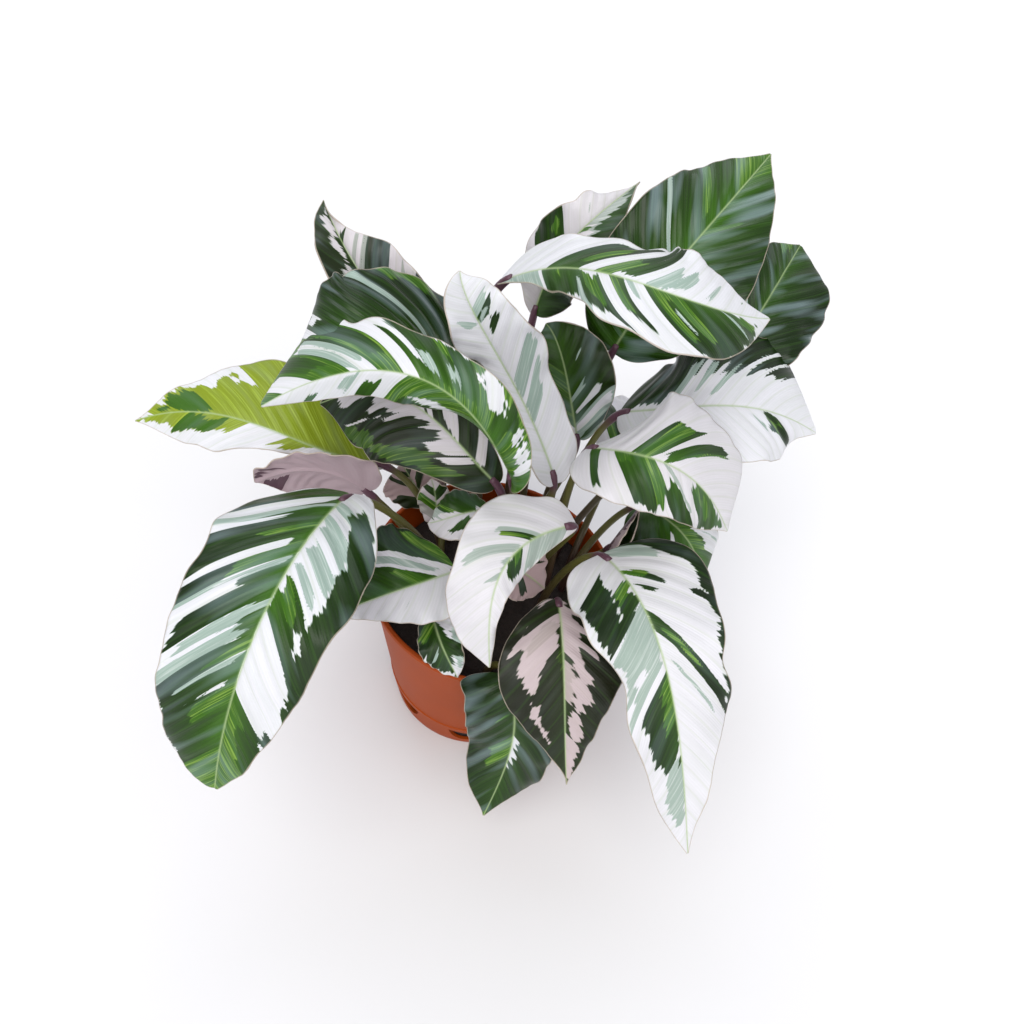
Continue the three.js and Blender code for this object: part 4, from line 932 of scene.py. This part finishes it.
def soilPiece():
    # rings of its top from near the middle out, its shoulder at the wall and its bottom, closed at both ends
    shoulder = soil["top"] - 2 * soil["lump"]
    rim, foot = (wallRadius(z) - pot["wall"] - soil["clearance"] for z in (shoulder, soil["bottom"]))
    share = np.linspace(0, 1, soil["rows"])[1:] * soil["edge"]
    columns = soil["columns"]
    angle = 2 * np.pi * np.arange(columns) / columns
    r = share[:, None] * rim
    x, y = r * np.cos(angle), r * np.sin(angle)
    top = np.stack([x, y, soilHeight(x, y)], -1)
    side = [np.stack([radius * np.cos(angle), radius * np.sin(angle), z + 0 * angle], -1)[None]
            for radius, z in ((rim, shoulder), (foot, soil["bottom"]))]
    grid = np.concatenate([top, *side])
    points = np.concatenate([grid.reshape(-1, 3), [[0, 0, soilHeight(0, 0)], [0, 0, soil["bottom"]]]])
    rows = len(grid)
    centre = rows * columns
    j = np.arange(columns)
    ahead = (j + 1) % columns
    last = centre - columns
    faces = gridFaces(rows, columns, flip=True, wrap=True).tolist()
    faces += np.stack([np.full(columns, centre), j, ahead], -1).tolist()
    faces += np.stack([np.full(columns, centre + 1), last + ahead, last + j], -1).tolist()
    piece = meshPiece("potting_soil", points, faces, [soilMaterial()])
    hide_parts("soil")
    return piece


potPiece()
print("pot made")
soilPiece()
print("soil made")
leafMaterials = [laminaMaterial(), petioleMaterial()]
for leafName, leaf in leaves.items():
    leafPiece(leafName, {**usual, **leaf}, leafMaterials)
print("leaves made:", len(leaves))

studio = {"floor": "#d7d7d7", "floorSize": 12.0, "sky": "#fdfdff", "skyStrength": 0.64}
floorMaterial, tree = startMaterial("matt_paper")
addNode(tree, "OutputMaterial", None, {"Surface": addNode(
    tree, "BsdfPrincipled", None, {"Base Color": linearColour(studio["floor"]), "Roughness": 0.9})})
half = studio["floorSize"] / 2
floorMesh = bpy.data.meshes.new("floor")
floorCorners = [(-half, -half, 0), (half, -half, 0), (half, half, 0), (-half, half, 0)]
floorMesh.from_pydata(floorCorners, [], [(0, 1, 2, 3)])
floorMesh.materials.append(floorMaterial)
floor = bpy.data.objects.new("floor", floorMesh)
bpy.context.scene.collection.objects.link(floor)

world = bpy.data.worlds.new("soft_sky")
bpy.context.scene.world = world
world.use_nodes = True
world.node_tree.nodes.clear()
addNode(world.node_tree, "OutputWorld", None, {"Surface": addNode(
    world.node_tree, "Background", None,
    {"Color": linearColour(studio["sky"]), "Strength": studio["skyStrength"]})})

lights = {
    # where each very soft light comes from, how wide it is in degrees, its strength and colour
    "window": {"from": (-0.3, 0.75, 1.0), "spread": 50, "strength": 1.2, "colour": "#eef2ff"},
    "room": {"from": (-0.25, -0.5, 1.0), "spread": 40, "strength": 1.3, "colour": "#fffdfa"},
    "fill": {"from": (0.25, -1.0, 0.45), "spread": 100, "strength": 2.15, "colour": "#fbfaff"},
}
for name, light in lights.items():
    lamp = bpy.data.lights.new(name, "SUN")
    lamp.angle = np.radians(light["spread"])
    lamp.energy = light["strength"]
    lamp.color = linearColour(light["colour"])[:3]
    holder = bpy.data.objects.new(name, lamp)
    bpy.context.scene.collection.objects.link(holder)
    holder.location = light["from"]
    holder.rotation_euler = Vector(light["from"]).to_track_quat("Z", "Y").to_euler()

bpy.context.scene.view_settings.view_transform = "Standard"
# the camera's place in metres, its angles in degrees, and its lens and film width in millimetres
view = {"place": (0.0015, -0.2295, 0.4086), "elevation": 49.0, "roll": 13.2, "lens": 28.0, "film": 36.0}
elevation, roll = np.radians(view["elevation"]), np.radians(view["roll"])
forward = np.array([0, np.cos(elevation), -np.sin(elevation)])
level = np.array([1.0, 0, 0])
upright = np.cross(level, forward)
toRight = np.cos(roll) * level + np.sin(roll) * upright
toTop = -np.sin(roll) * level + np.cos(roll) * upright
camera = bpy.data.objects.new("camera", bpy.data.cameras.new("camera"))
camera.data.lens = view["lens"]
camera.data.sensor_width = view["film"]
camera.data.clip_start = 0.01
camera.matrix_world = Matrix([[*map(float, row)] for row in np.column_stack(
    [toRight, toTop, -forward, np.array(view["place"])])] + [[0, 0, 0, 1]])
bpy.context.scene.collection.objects.link(camera)
bpy.context.scene.camera = camera
print("studio ready")
